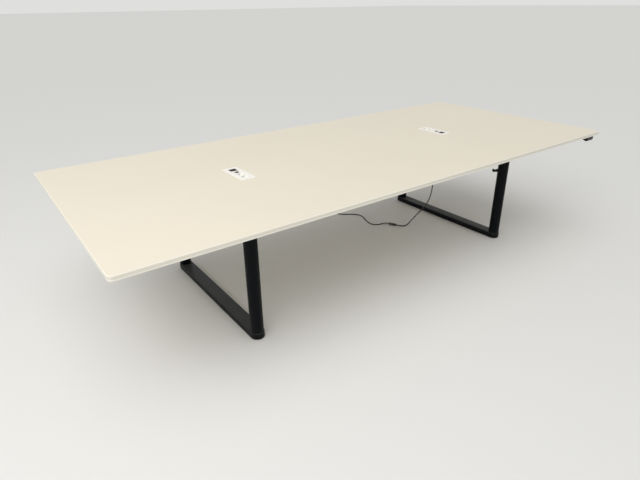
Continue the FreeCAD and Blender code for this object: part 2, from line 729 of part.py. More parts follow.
def make_feet():
    """Foot bars, ribbed below, with the plates and screws that hold the columns on them."""
    for name, side in SIDES:
        bar = Piece("foot_bar_" + name, "%d * column_x" % side, "0", "bar_bottom")
        bar.pad(bar.draw().slot("bar_width / 2", "column_y"), "bar_height")
        bar.fillet("bar_arris", lies_at("Z", "bar_height"))
        bar.pocket(bar.draw().slot("bar_width / 2 - bar_wall", "column_y"), "bar_height - bar_wall", up=True)
        for end in (-1, 1):
            boss = bar.draw().circle("bar_width / 2 - bar_wall / 2", "0", "%d * column_y" % end)
            bar.pad(boss, "bar_height - bar_wall / 2")
        for index in range(int(value("rib_count"))):
            middle = "2 * column_y * (%d / (rib_count + 1) - 1 / 2)" % (index + 1)
            rib = bar.draw().rectangle("bar_width - bar_wall", "rib_thick", "0", middle)
            bar.pad(rib, "bar_height - bar_wall / 2")
        studs = bar.draw()
        heads = bar.draw()
        shanks = bar.draw()
        for end in (-1, 1):
            studs.circle("stud_dia / 2 + journal_gap", "0", "%d * column_y" % end)
            screw_circle_points(heads, "foot_screw_head / 2 + hole_gap", "%d * column_y" % end)
            screw_circle_points(shanks, "foot_screw_dia / 2 + hole_gap", "%d * column_y" % end)
        bar.pocket(studs, "stud_length + journal_gap", up=True)
        bar.pocket(heads, "foot_screw_sunk + foot_screw_deep", up=True)
        bar.pocket(shanks)

    plate = Piece("plate_template", node=False)
    plate.pad(plate.draw().circle("outer_bore - seat_gap"), "plate_thick")
    plate.pad(plate.draw().circle("push_bore - seat_gap"), "plate_thick + plate_spigot")
    plate.pocket(screw_circle_points(plate.draw(), "foot_screw_dia / 2 + seat_gap"))
    group("column_foot_plates", plate, at_columns("bar_top"))

    head_radius, shank_radius = "foot_screw_head / 2", "foot_screw_dia / 2"
    shank_end = "bar_height - foot_screw_sunk + plate_thick"
    screw = turned("foot_screw_template", [
        ("0", "0"), (head_radius, "0"), (head_radius, "foot_screw_deep"),
        (shank_radius, "foot_screw_deep"), (shank_radius, shank_end), ("0", shank_end),
    ], node=False)
    places = []
    for point, turn in at_columns("bar_bottom + foot_screw_sunk"):
        for angle in SCREW_ANGLES:
            arm = vector("screw_circle / 2 * cos(%d)" % angle, "screw_circle / 2 * sin(%d)" % angle, "0")
            places.append((point + arm, turn))
    group("foot_screws", screw, places)

    for name, side, end in CORNERS:
        pad_radius, stud_radius = "pad_dia / 2", "stud_dia / 2"
        turned("levelling_foot_" + name, [
            ("0", "0"), (pad_radius, "0"), (pad_radius, "pad_height"), (stud_radius, "pad_height"),
            (stud_radius, "pad_height + stud_length"), ("0", "pad_height + stud_length"),
        ], "%d * column_x" % side, "%d * column_y" % end)


def make_fasteners():
    """Bolts through the side arms' flanges, and screws up into the top."""
    bolt = Piece("bolt_template", node=False)
    angles = range(0, 360, 60)
    hexagon = [("bolt_head / 2 * cos(%d)" % angle, "bolt_head / 2 * sin(%d)" % angle) for angle in angles]
    bolt.pad(bolt.draw(offset="-bolt_head_deep").outline(hexagon), "bolt_head_deep")
    bolt.pad(bolt.draw().circle("bolt_dia / 2"), "bolt_length")
    places = []
    for side, inward, outward in ((-1, TO_RIGHT, TO_LEFT), (1, TO_LEFT, TO_RIGHT)):
        for end in (-1, 1):
            for step in (-1, 1):
                head_y = "%d * column_y + %d * head_bolt_y" % (end, step)
                rail_y = "%d * rail_y + %d * rail_bolt_y" % (end, step)
                places.append((vector("%d * arm_outer" % side, head_y, "bolt_z"), inward))
                places.append((vector("%d * (arm_outer + rail_plate)" % side, rail_y, "bolt_z"), inward))
                places.append((vector("%d * (arm_inner - rail_plate)" % side, rail_y, "bolt_z"), outward))
    group("frame_bolts", bolt, places)

    head_radius, shank_radius = "top_screw_head / 2", "top_screw_dia / 2"
    shank_end = "top_screw_deep + steel_wall + top_screw_bite"
    screw = turned("top_screw_template", [
        ("0", "0"), (head_radius, "0"), (head_radius, "top_screw_deep"),
        (shank_radius, "top_screw_deep"), (shank_radius, shank_end), ("0", shank_end),
    ], node=False)
    height = "under - steel_wall - top_screw_deep"
    group("top_screws", screw, [(vector(x, y, height), NO_TURN) for x, y in top_screw_points()])


def make_cable_hook():
    """A bent strip on a saddle, screwed to the near right outer tube."""
    reach = "hook_foot + hook_reach"
    hook = Piece("cable_hook", "column_x - outer_dia / 2", "-column_y", "hook_height")
    side = hook.draw("XZ_Plane")
    side.outline([
        ("-hook_foot", "-(hook_back - hook_thick) / 2"), ("hook_foot", "-(hook_back - hook_thick) / 2"),
        ("hook_foot", "(hook_back + hook_thick) / 2"), ("-hook_foot", "(hook_back + hook_thick) / 2"),
        ("-hook_foot", "hook_thick"), ("hook_thick - (%s)" % reach, "hook_thick"),
        ("hook_thick - (%s)" % reach, "hook_lip"), ("-(%s)" % reach, "hook_lip"), ("-(%s)" % reach, "0"),
    ])
    hook.pad(side, "hook_width", both=True)
    tube = hook.draw(offset="-hook_back").circle("outer_dia / 2 + seat_gap", "outer_dia / 2")
    hook.pocket(tube)


def make_handset():
    """The up and down handset under the near edge, with its two push buttons."""
    housing = Piece("handset_housing", "handset_x", "handset_front", "under - handset_height")
    footprint = housing.draw().rectangle("handset_width", "handset_depth", "0", "handset_depth / 2")
    housing.pad(footprint, "handset_height")
    housing.fillet("handset_corner", is_upright)
    housing.fillet("handset_arris", lies_at("Z", "0"))
    wells = housing.draw("XZ_Plane")
    for side in (-1, 1):
        width, height = "button_width + 2 * button_gap", "button_height + 2 * button_gap"
        wells.rectangle(width, height, "%d * button_spread / 2" % side, "handset_height / 2")
    housing.pocket(wells, "button_deep - button_proud + button_travel + button_gap")
    for name, side in (("up_button", 1), ("down_button", -1)):
        button = Piece(name, "handset_x + %d * button_spread / 2" % side, "button_y", "button_z")
        face = button.draw("XZ_Plane", "-button_deep").rectangle("button_width", "button_height")
        button.pad(face, "button_deep")
        button.fillet("button_proud / 2", lies_at("Y", "0"))


def make_control_box():
    """The motor controller under the top, with a row of motor sockets along its front."""
    case = Piece("control_box", "box_x", "box_y", "under - box_height")
    case.pad(case.draw().rectangle("box_length", "box_width"), "box_height")
    case.fillet("box_corner", is_upright)
    ears = case.draw(offset="box_height - ear_thick")
    case.pad(ears.rectangle("box_length + 2 * ear_length", "box_width / 2"), "ear_thick")
    row = case.draw("XZ_Plane", "box_width / 2")
    for index in range(int(value("socket_row"))):
        x = "socket_pitch * (%d - (socket_row - 1) / 2)" % index
        row.rectangle("socket_wide", "socket_high", x, "box_height / 2")
    case.pocket(row, "socket_recess")


def make_power_units():
    """Two power units let into the top; the right one is turned end for end."""
    sockets, data, charging = socket_module(), data_module(), charging_module()
    socket_places, data_places, charging_places = [], [], []
    for name, side in SIDES:
        x = "%d * unit_x" % side
        cover = Piece("power_cover_" + name, x, "0", "table_height")
        cover.pad(cover.draw().rectangle("cover_width", "cover_length"), "cover_thick")
        cover.fillet("cover_corner", is_upright)
        cover.chamfer("cover_bevel", lies_at("Z", "cover_thick"))
        cover.pocket(cover.draw(offset="cover_thick").rectangle("window_width", "window_length"))

        housing = Piece("power_housing_" + name, x, "0", "housing_bottom")
        housing.pad(housing.draw().rectangle("housing_width", "housing_length"), "housing_depth")
        housing.fillet("housing_corner", is_upright)
        seat = housing.draw(offset="housing_depth").rectangle("window_width", "window_length")
        housing.pocket(seat, "module_height - cover_thick + module_drop")
        housing.pad(housing.draw(offset="-gland_height").circle("gland_dia / 2"), "gland_height")

        turn = NO_TURN if side < 0 else HALF_TURN
        for slot, places in ((3, data_places), (2, charging_places), (1, socket_places), (0, socket_places)):
            along = "%d * module_pitch * ((module_count - 1) / 2 - %d)" % (side, slot)
            places.append((vector(x, along, "module_top - module_height"), turn))
    group("power_sockets", sockets, socket_places)
    group("data_modules", data, data_places)
    group("usb_modules", charging, charging_places)


def module_block(label):
    """A plain module that fills one place of a power unit."""
    block = Piece(label, node=False)
    footprint = block.draw().rectangle("module_width", "module_pitch - module_gap")
    return block.pad(footprint, "module_height")


def socket_module():
    """A mains socket: a round well with two pin holes in its floor, set across a corner."""
    block = module_block("socket_template")
    block.pocket(block.draw(offset="module_height").circle("well_dia / 2"), "well_depth")
    pins = block.draw(offset="module_height - well_depth")
    for side in (-1, 1):
        pins.circle("pin_dia / 2", "%d * pin_place" % side, "%d * pin_place" % -side)
    return block.pocket(pins, "pin_depth")


def data_module():
    """A data module with two open ports side by side."""
    block = module_block("data_template")
    ports = block.draw(offset="module_height")
    for side in (-1, 1):
        ports.rectangle("port_width", "port_length", "%d * port_spread / 2" % side)
    return block.pocket(ports, "port_depth")


def charging_module():
    """A charging module with two slots, each with its tongue."""
    block = module_block("usb_template")
    slots = block.draw(offset="module_height")
    for side in (-1, 1):
        middle = "%d * usb_spread / 2" % side
        slots.rectangle("usb_width", "usb_length", "0", middle)
        slots.rectangle("usb_width - usb_tongue", "usb_tongue", "0", middle)
    return block.pocket(slots, "usb_depth")


def arc_to(start, corner, end):
    """The arc tangent to both arms of a corner, from start to end, equally far from the corner."""
    middle = (start + end) * 0.5
    rise = corner - middle
    chord = (start - middle).Length
    sagitta = chord * math.tan(math.atan2(rise.Length, chord) / 2)
    return Part.Arc(start, middle + rise * (sagitta / rise.Length), end).toShape()


def cord_path(points):
    """Straight runs joined by tangent arcs, each as large as its two runs allow."""
    edges, radii = [], []
    last = points[0]
    for before, corner, after in zip(points, points[1:], points[2:]):
        arm_in, arm_out = before - corner, after - corner
        cut = 0.45 * min(arm_in.Length, arm_out.Length)
        start = corner + arm_in * (cut / arm_in.Length)
        end = corner + arm_out * (cut / arm_out.Length)
        edges.append(Part.LineSegment(last, start).toShape())
        edges.append(arc_to(start, corner, end))
        radii.append(cut / math.tan((math.pi - arm_in.getAngle(arm_out)) / 2))
        last = end
    edges.append(Part.LineSegment(last, points[-1]).toShape())
    return edges, radii


def coil_path():
    """Half turns that spiral in, climb a layer where they turn back, and spiral out again."""
    radius, pitch, climb = value("coil_radius"), value("coil_pitch"), value("coil_climb")
    low, halves = value("lying"), int(value("coil_halves"))
    centre = Vector(value("coil_x"), value("coil_y"), 0)
    spans = [radius - pitch / 2 * index for index in range(halves)]
    spans = spans + [spans[-1] - pitch / 2] + spans[::-1]
    heading = 1
    edges = []
    start = centre + Vector(radius, 0, low)
    edges.append(Part.LineSegment(start - Vector(0, value("cord_dia"), 0), start).toShape())
    for index, span in enumerate(spans):
        rise = climb if index == halves else 0
        goal = start + Vector(-2 * heading * span, 0, rise)
        edges += half_turn(start, goal, Vector(0, heading, 0))
        start, heading = goal, -heading
    along = Vector(0, heading, 0)
    end = start + along * value("coil_tail")
    edges.append(Part.LineSegment(start, end).toShape())
    return edges, end, along


def half_turn(start, goal, tangent):
    """Two quarter arcs from start to goal that leave along a tangent and arrive against it."""
    step = (goal - start).Length / 2
    first, second = start + tangent * step, goal + tangent * step
    middle = (first + second) * 0.5
    return [arc_to(start, first, middle), arc_to(middle, second, goal)]


def tube(label, edges):
    """Sweep the lead's round section along a path, and compare its volume with section times length."""
    radius = value("cord_dia / 2")
    path = Part.Wire(Part.__sortEdges__(edges))
    first = edges[0]
    start = first.valueAt(first.FirstParameter)
    along = first.tangentAt(first.FirstParameter)
    section = Part.Wire([Part.Circle(start, along, radius).toShape()])
    solid = path.makePipeShell([section], True, False)
    share = solid.Volume / (math.pi * radius ** 2 * path.Length)
    print("%s: %.0f mm long, volume share %.4f" % (label, path.Length, share))
    if abs(share - 1) > 0.01:
        raise RuntimeError(label + ": the tube's volume is wrong")
    return own_feature(label, solid)


def least_gap(edges):
    """The coil's least gap to itself, from points along its path."""
    diameter = value("cord_dia")
    points, gone = [], 0.0
    for edge in edges:
        steps = max(2, int(edge.Length / 3))
        for index in range(steps):
            share = index / steps
            first, last = edge.FirstParameter, edge.LastParameter
            points.append((gone + share * edge.Length, edge.valueAt(first + share * (last - first))))
        gone += edge.Length
    apart = 4 * diameter
    near = [(a - b).Length for i, (s, a) in enumerate(points) for t, b in points[i + 1:] if t - s > apart]
    return min(near) - diameter


def make_lead():
    """The right power unit's lead: strain relief, drop, inline coupler, floor stretch, coil and plug."""
    cord = "cord_dia / 2"
    turned("strain_relief", [
        ("0", "0"), ("relief_end_dia / 2", "0"), ("relief_dia / 2", "relief_length"), ("0", "relief_length"),
    ], "unit_x", "0", "relief_bottom")

    rest = Vector(0, 0, value("lying"))
    near, far = [Vector(*point) + rest for point in COUPLER_ENDS]
    across = far - near
    span = across.Length
    across.normalize()
    entry = across * value("coupler_entry")
    drop = [Vector(*point) + rest for point in DROP_ROUTE] + [near - entry, near]
    drop[0] = vector("unit_x", "0", "relief_bottom")
    floor = [far, far + entry] + [Vector(*point) + rest for point in FLOOR_ROUTE]
    for label, points in (("lead_drop", drop), ("lead_floor", floor)):
        edges, radii = cord_path(points)
        print("%s: radii %s" % (label, " ".join("%.0f" % radius for radius in radii)))
        tube(label, edges)

    coil_edges, coil_end, coil_heading = coil_path()
    print("lead_coil: least gap %.2f mm" % least_gap(coil_edges))
    tube("lead_coil", coil_edges)

    half = [
        ("0", "0"), ("coupler_dia / 2 - coupler_nose / 3", "0"), ("coupler_dia / 2", "coupler_nose"),
        ("coupler_dia / 2", "coupler_length"), ("0", "coupler_length"),
    ]
    gap = across * value("seat_gap")
    first = turned("coupler_half_template", half, node=False)
    group("coupler_socket", first, [(near + gap, FreeCAD.Rotation(Vector(0, 0, 1), across))])
    reach = "%.6f - coupler_length - 2 * seat_gap" % span
    ringed = half[:-1] + [("coupler_ring / 2", "coupler_length"), ("coupler_ring / 2", reach), ("0", reach)]
    second = turned("coupler_plug_template", ringed, node=False)
    group("coupler_plug", second, [(far - gap, FreeCAD.Rotation(Vector(0, 0, 1), across * -1))])

    make_mains_plug(coil_end, coil_heading)


def make_mains_plug(start, along):
    """A flat-sided two-pin plug that lies where the coil ends."""
    thick = "2 * (lying + coil_climb)"
    plug = Piece("plug_template", node=False)
    body = plug.draw(offset="-(%s) / 2" % thick).outline([
        ("-cord_dia", "0"), ("cord_dia", "0"), ("plug_width / 2", "plug_nose"),
        ("plug_width / 2", "plug_nose + plug_length"), ("-plug_width / 2", "plug_nose + plug_length"),
        ("-plug_width / 2", "plug_nose"),
    ])
    plug.pad(body, thick)
    shoulder = value("plug_nose / 2")
    plug.fillet("plug_corner", lambda edge: is_upright(edge) and edge.Vertexes[0].Point.y > shoulder)
    pins = plug.draw("XZ_Plane", "-(plug_nose + plug_length + plug_pin_length)")
    for step in (-1, 1):
        pins.circle("plug_pin_dia / 2", "%d * pin_spread / 2" % step)
    plug.pad(pins, "plug_pin_length + seat_gap")
    group("mains_plug", plug, [(start, FreeCAD.Rotation(Vector(0, 1, 0), along))])


def check_model():
    """Stop if any object failed or any sub-part has no sound shape."""
    doc.recompute()
    for item in doc.Objects:
        if "Invalid" in item.State or "Error" in item.State:
            raise RuntimeError(item.Label + ": " + " ".join(item.State))
    for node in nodes:
        if node.Shape.isNull() or not node.Shape.isValid() or not node.Shape.Solids:
            raise RuntimeError(node.Label + ": its shape is not sound")


def write_parts():
    """Write each sub-part to a file of its own."""
    os.makedirs("parts", exist_ok=True)
    for node in nodes:
        node.Shape.exportStep("parts/%s.step" % node.Label)
    print("%d nodes" % len(nodes))


make_top()
make_side_arms()
make_rails()
make_gear_heads()
make_motors()
make_columns()
make_feet()
make_fasteners()
make_cable_hook()
make_handset()
make_control_box()
make_power_units()
make_lead()
check_model()
write_parts()
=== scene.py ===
"""Looks of a height-adjustable meeting table on four telescopic columns.

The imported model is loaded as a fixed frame. The classes below dress it, one for each sub-assembly: the top and
its edging, the columns, the feet, the steelwork and drives below the top, the power units, the handset, the
control box, and the lead on its way to the floor. A shape that repeats is modelled once, round the origin or
for the front or the right, and cast to its places. Lengths are in metres, in the model's own frame.
"""

from __future__ import annotations

import logging
import math
from dataclasses import dataclass
from enum import Enum
from typing import Callable, Mapping, Optional, Sequence, Union

import bmesh
import bpy
from mathutils import Matrix, Vector

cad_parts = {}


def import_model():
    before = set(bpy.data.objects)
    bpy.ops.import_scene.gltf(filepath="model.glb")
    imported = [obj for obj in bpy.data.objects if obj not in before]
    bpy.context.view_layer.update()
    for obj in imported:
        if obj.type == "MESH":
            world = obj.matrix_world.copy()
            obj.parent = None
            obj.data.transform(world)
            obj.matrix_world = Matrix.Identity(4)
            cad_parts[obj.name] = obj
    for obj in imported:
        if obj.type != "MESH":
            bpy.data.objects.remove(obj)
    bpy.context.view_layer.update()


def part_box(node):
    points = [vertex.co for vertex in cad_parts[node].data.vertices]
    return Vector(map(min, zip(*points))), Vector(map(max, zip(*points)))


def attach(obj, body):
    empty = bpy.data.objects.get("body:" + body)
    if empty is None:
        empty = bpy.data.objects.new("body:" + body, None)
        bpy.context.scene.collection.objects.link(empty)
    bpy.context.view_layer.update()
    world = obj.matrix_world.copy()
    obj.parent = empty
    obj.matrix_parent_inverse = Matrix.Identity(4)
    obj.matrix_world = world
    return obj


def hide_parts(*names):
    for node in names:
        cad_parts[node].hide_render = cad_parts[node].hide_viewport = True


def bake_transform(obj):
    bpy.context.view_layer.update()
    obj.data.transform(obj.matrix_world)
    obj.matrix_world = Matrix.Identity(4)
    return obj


LOG = logging.getLogger("meeting_table")

Pair = tuple[float, float]
Point = tuple[float, float, float]
Colour = tuple[float, float, float]
Outline = tuple[float, float, float, float]
PairTest = Callable[[Vector, Vector], bool]
SpotTest = Callable[[Vector], bool]

# From this part of a normal along an axis, a face counts as square to it.
SQUARE = 0.9
# From this climb, an edge counts as upright.
CLIMB = 0.001
# Corners and faces are found at a place with this reach.
HAIR = 0.0002
# The middle of a noise, which is spread over 0 to 1.
CLOUD = (0.3, 0.7)
# What a shape is called before it is cast to its places.
PATTERN = "pattern"
HALF_TURN = Matrix.Rotation(math.pi, 4, "Z")


def moved(x: float, y: float, z: float = 0.0) -> Matrix:
    """The move from the origin to a place."""
    return Matrix.Translation((x, y, z))


def level(centre: Vector, normal: Vector) -> bool:
    """True for a face that looks up or down."""
    return abs(normal.z) > SQUARE


def looks_up(centre: Vector, normal: Vector) -> bool:
    """True for a face that looks up."""
    return normal.z > SQUARE


def looks_down(centre: Vector, normal: Vector) -> bool:
    """True for a face that looks down."""
    return normal.z < -SQUARE


def upright(first: Vector, last: Vector) -> bool:
    """True for an edge that climbs."""
    return abs(first.z - last.z) > CLIMB


def lying(first: Vector, last: Vector) -> bool:
    """True for an edge that doesn't climb."""
    return abs(first.z - last.z) < CLIMB


def everywhere(*spots: Vector) -> bool:
    """True for every part of a piece."""
    return True


def within(x: float, y: float, reach: float) -> SpotTest:
    """A test for places that are less than a distance from an upright axis."""
    return lambda spot: math.hypot(spot.x - x, spot.y - y) < reach


def about(x: float, y: float, size: Pair) -> Outline:
    """The least X and Y and the greatest X and Y of a rectangle round a place."""
    return (x - size[0] / 2, y - size[1] / 2, x + size[0] / 2, y + size[1] / 2)


def raised(base: float, ends: Pair) -> Pair:
    """Two heights, given from a base."""
    return base + ends[0], base + ends[1]


class Corner(Enum):
    """The four columns, as the sides of the table that they stand at."""

    FRONT_LEFT = (-1, -1)
    FRONT_RIGHT = (1, -1)
    BACK_LEFT = (-1, 1)
    BACK_RIGHT = (1, 1)

    @property
    def node_end(self) -> str:
        """The end of this column's node names."""
        return self.name.lower()

    def at(self, x: float, y: float) -> Matrix:
        """Where a pattern for the front goes at this column; it is turned half round for the back."""
        side, end = self.value
        return moved(side * x, end * y) @ (HALF_TURN if end > 0 else Matrix())


class Side(Enum):
    """The two ends of the table."""

    LEFT = -1
    RIGHT = 1

    @property
    def node_end(self) -> str:
        """The end of this side's node names."""
        return self.name.lower()

    def at(self, x: float, y: float) -> Matrix:
        """Where a pattern for the right goes at this end; it is turned half round for the left."""
        return (HALF_TURN if self is Side.LEFT else Matrix()) @ moved(x, y)


class Body(Enum):
    """The bodies that pieces ride on."""

    BASE = "base"
    TOP = "top"
    UP_BUTTON = "up_button"
    DOWN_BUTTON = "down_button"
    FOOT_FRONT_LEFT = "levelling_foot_front_left"
    FOOT_FRONT_RIGHT = "levelling_foot_front_right"
    FOOT_BACK_LEFT = "levelling_foot_back_left"
    FOOT_BACK_RIGHT = "levelling_foot_back_right"


class Wire:
    """A socket of a shader node that can be used in Python sums."""

    def __init__(self, graph: "Graph", socket: bpy.types.NodeSocket) -> None:
        """Hold an output socket.

        Args:
            graph: The graph that the socket's node is in.
            socket: The output socket.
        """
        self.graph = graph
        self.socket = socket

    def __add__(self, other: "Number") -> "Wire":
        """Add."""
        return self.graph.maths("ADD", self, other)

    def __radd__(self, other: float) -> "Wire":
        """Add to a number."""
        return self.graph.maths("ADD", other, self)

    def __sub__(self, other: "Number") -> "Wire":
        """Subtract."""
        return self.graph.maths("SUBTRACT", self, other)

    def __rsub__(self, other: float) -> "Wire":
        """Subtract from a number."""
        return self.graph.maths("SUBTRACT", other, self)

    def __mul__(self, other: "Number") -> "Wire":
        """Multiply."""
        return self.graph.maths("MULTIPLY", self, other)

    def __rmul__(self, other: float) -> "Wire":
        """Multiply a number."""
        return self.graph.maths("MULTIPLY", other, self)

    def span(self, low: float, high: float) -> "Wire":
        """Stretch low..high to 0..1 and clamp it there."""
        values = {"Value": self, "From Min": low, "From Max": high}
        return self.graph.node("ShaderNodeMapRange", {"clamp": True}, values)


Number = Union[Wire, float]


class Graph:
    """The node tree of a material or a world, built from Python calls."""

    def __init__(self, owner: Union[bpy.types.Material, bpy.types.World]) -> None:
        """Start with an empty tree.

        Args:
            owner: The new material or world.
        """
        owner.use_nodes = True
        self.owner = owner
        self.tree = owner.node_tree
        self.tree.nodes.clear()

    def node(
        self,
        kind: str,
        settings: Optional[Mapping[str, object]] = None,
        values: Optional[Mapping[Union[str, int], object]] = None,
        output: Union[str, int] = 0,
    ) -> Wire:
        """Add any node.

        Args:
            kind: The node's type.
            settings: The node's own settings.
            values: Values or wires for its input sockets.
            output: Which output is wanted.

        Returns:
            The wanted output.
        """
        made = self.tree.nodes.new(kind)
        for key, setting in (settings or {}).items():
            setattr(made, key, setting)
        for key, value in (values or {}).items():
            self._feed(made.inputs[key], value)
        return Wire(self, made.outputs[output])

    def _feed(self, socket: bpy.types.NodeSocket, value: object) -> None:
        """Link a wire to an input socket, or set its value.

        Args:
            socket: The input socket.
            value: A wire or a value.
        """
        if isinstance(value, Wire):
            self.tree.links.new(value.socket, socket)
        else:
            socket.default_value = value

    def maths(self, operation: str, first: Number, second: Number) -> Wire:
        """Add a Math node."""
        return self.node("ShaderNodeMath", {"operation": operation}, {0: first, 1: second})

    def place(self, scale: Point = (1.0, 1.0, 1.0)) -> Wire:
        """The point on the object, in metres, with each axis stretched."""
        point = self.node("ShaderNodeTexCoord", output="Object")
        return self.node("ShaderNodeMapping", {}, {"Vector": point, "Scale": scale})

    def height(self) -> Wire:
        """The height on the object, in metres."""
        return self.node("ShaderNodeSeparateXYZ", {}, {"Vector": self.place()}, "Z")

    def noise(self, scale: float, detail: float = 3.0, stretch: Point = (1.0, 1.0, 1.0)) -> Wire:
        """A cloud pattern round 0.5 on object coordinates, with this many clouds along a metre."""
        values = {"Vector": self.place(stretch), "Scale": scale, "Detail": detail, "Roughness": 0.55}
        return self.node("ShaderNodeTexNoise", {"noise_dimensions": "3D"}, values)

    def mix(self, factor: Number, first: object, second: object) -> Wire:
        """Mix two colours or wires: 0 is the first, 1 the second."""
        return self.node("ShaderNodeMix", {"data_type": "RGBA"}, {0: factor, 6: first, 7: second}, 2)

    def bump(self, height: Wire, depth: float, after: Optional[Wire] = None) -> Wire:
        """Turn a height pattern into a normal.

        Args:
            height: The pattern.
            depth: How many metres it rises from 0 to 1.
            after: A normal that this one is laid on.

        Returns:
            The normal.
        """
        values: dict[Union[str, int], object] = {"Height": height, "Distance": depth, "Strength": 1.0}
        if after is not None:
            values["Normal"] = after
        return self.node("ShaderNodeBump", {}, values)

    def surface(self, kind: str, values: Mapping[str, object]) -> None:
        """Close the tree with a shader.

        Args:
            kind: The shader's type.
            values: Values or wires for its sockets.
        """
        shader = self.node(kind, {}, dict(values))
        world = isinstance(self.owner, bpy.types.World)
        end = self.tree.nodes.new("ShaderNodeOutputWorld" if world else "ShaderNodeOutputMaterial")
        self._feed(end.inputs["Surface"], shader)


@dataclass(frozen=True)
class Finish:
    """A finish: its colour, its shine, and what varies over it."""

    name: str
    colour: Colour
    roughness: float
    metallic: float = 0.0
    specular: float = 0.5
    mottle: float = 0.04
    mottle_scale: float = 5.0
    grain_scale: float = 900.0
    grain_depth: float = 0.00001
    gloss_change: float = 0.05
    smear: float = 2.3
    slot: Optional[str] = None

    def shaded(self, share: float) -> tuple[float, float, float, float]:
        """The finish's colour with its alpha, made lighter or darker by a share of it."""
        return tuple(min(1.0, part * (1.0 + share)) for part in self.colour) + (1.0,)

    def tint(self, graph: Graph) -> Wire:
        """The colour over the surface: slow clouds between a darker and a lighter shade."""
        clouds = graph.noise(self.mottle_scale, 4.0).span(*CLOUD)
        return graph.mix(clouds, self.shaded(-self.mottle), self.shaded(self.mottle))

    def gloss(self, graph: Graph) -> Wire:
        """The roughness over the surface."""
        smears = graph.noise(self.mottle_scale * self.smear, 5.0).span(*CLOUD)
        return self.roughness + (smears - 0.5) * self.gloss_change

    def relief(self, graph: Graph) -> Wire:
        """The fine grain of the surface, as a normal."""
        return graph.bump(graph.noise(self.grain_scale, 2.0), self.grain_depth)

    def material(self) -> bpy.types.Material:
        """Build the finish's material.

        Returns:
            The material.
        """
        made = bpy.data.materials.new(self.name)
        graph = Graph(made)
        graph.surface("ShaderNodeBsdfPrincipled", {
            "Base Color": self.tint(graph),
            "Roughness": self.gloss(graph),
            "Metallic": self.metallic,
            "Specular IOR Level": self.specular,
            "Normal": self.relief(graph),
        })
        return made


@dataclass(frozen=True)
class Laminate(Finish):
    """Pressed laminate: a satin face with a fine pearl grain and very faint specks."""

    speck_scale: float = 420.0
    speck_share: float = 0.05
    wave_scale: float = 7.0
    wave_depth: float = 0.00008

    def tint(self, graph: Graph) -> Wire:
        """Slow clouds with faint specks over them."""
        specks = graph.noise(self.speck_scale, 1.0).span(0.6, 0.78)
        return graph.mix(specks * self.speck_share, Finish.tint(self, graph), self.shaded(-0.5))

    def relief(self, graph: Graph) -> Wire:
        """A pearl grain on a barely wavy board."""
        waves = graph.bump(graph.noise(self.wave_scale, 1.0), self.wave_depth)
        return graph.bump(graph.noise(self.grain_scale, 1.0), self.grain_depth, waves)


@dataclass(frozen=True)
class EdgeBand(Finish):
    """Glued edge band: a painted highlight runs along its two arrises, which leaves the face between them darker than
    they are.
    """

    upper: Pair = (0.6798, 0.6820)
    lower: Pair = (0.6678, 0.6700)
    scraped: Colour = (0.92, 0.89, 0.81)

    def tint(self, graph: Graph) -> Wire:
        """The face, with a painted highlight line along its upper and its lower arris."""
        # Painted highlight: light lines where the rounded arrises catch the light.
        lines = graph.height().span(*self.upper) + (1.0 - graph.height().span(*self.lower))
        return graph.mix(lines, Finish.tint(self, graph), (*self.scraped, 1.0))


@dataclass(frozen=True)
class PowderCoat(Finish):
    """Baked powder coat: orange peel, with a trace of dust that dulls it."""

    dust: float = 0.35
    patch_scale: float = 9.0
    peel_scale: float = 260.0

    def gloss(self, graph: Graph) -> Wire:
        """The roughness, dulled in patches by dust and hands."""
        patches = graph.noise(self.patch_scale, 6.0).span(0.52, 0.78)
        return Finish.gloss(self, graph) + patches * (self.dust * 0.2)

    def relief(self, graph: Graph) -> Wire:
        """Orange peel, under a finer grain."""
        peel = graph.bump(graph.noise(self.peel_scale, 1.0), self.grain_depth * 2.0)
        return graph.bump(graph.noise(self.grain_scale, 2.0), self.grain_depth, peel)


@dataclass(frozen=True)
class DustyTop(PowderCoat):
    """Powder coat of a foot bar: black at its sides, greyed on its upper face partly by dust and partly by a painted
    sheen.
    """

    # Dust and painted sheen: the upper face's grey stands partly for dust and partly for the light that the face
    # reflects.
    dust_colour: Colour = (0.047, 0.052, 0.053)
    clean_to: float = 0.0340
    dusty_from: float = 0.0357
    trodden_scale: float = 14.0

    def upper(self, graph: Graph) -> Wire:
        """1 on the upper face, 0 on the sides, thinned in patches."""
        patches = graph.noise(self.trodden_scale, 5.0).span(0.2, 0.6)
        return graph.height().span(self.clean_to, self.dusty_from) * (patches * 0.3 + 0.7)

    def tint(self, graph: Graph) -> Wire:
        """The coat's colour, with dust and a painted sheen on the upper face."""
        return graph.mix(self.upper(graph), PowderCoat.tint(self, graph), (*self.dust_colour, 1.0))


@dataclass(frozen=True)
class DrawnMetal(Finish):
    """Drawn or turned metal, with fine lines along one axis."""

    lines: Point = (1.0, 1.0, 0.02)
    line_scale: float = 240.0

    def relief(self, graph: Graph) -> Wire:
        """Fine drawing lines."""
        return graph.bump(graph.noise(self.grain_scale, 2.0, self.lines), self.grain_depth)

    def gloss(self, graph: Graph) -> Wire:
        """The roughness, changing across the lines."""
        return self.roughness + (graph.noise(self.line_scale, 3.0, self.lines) - 0.5) * self.gloss_change


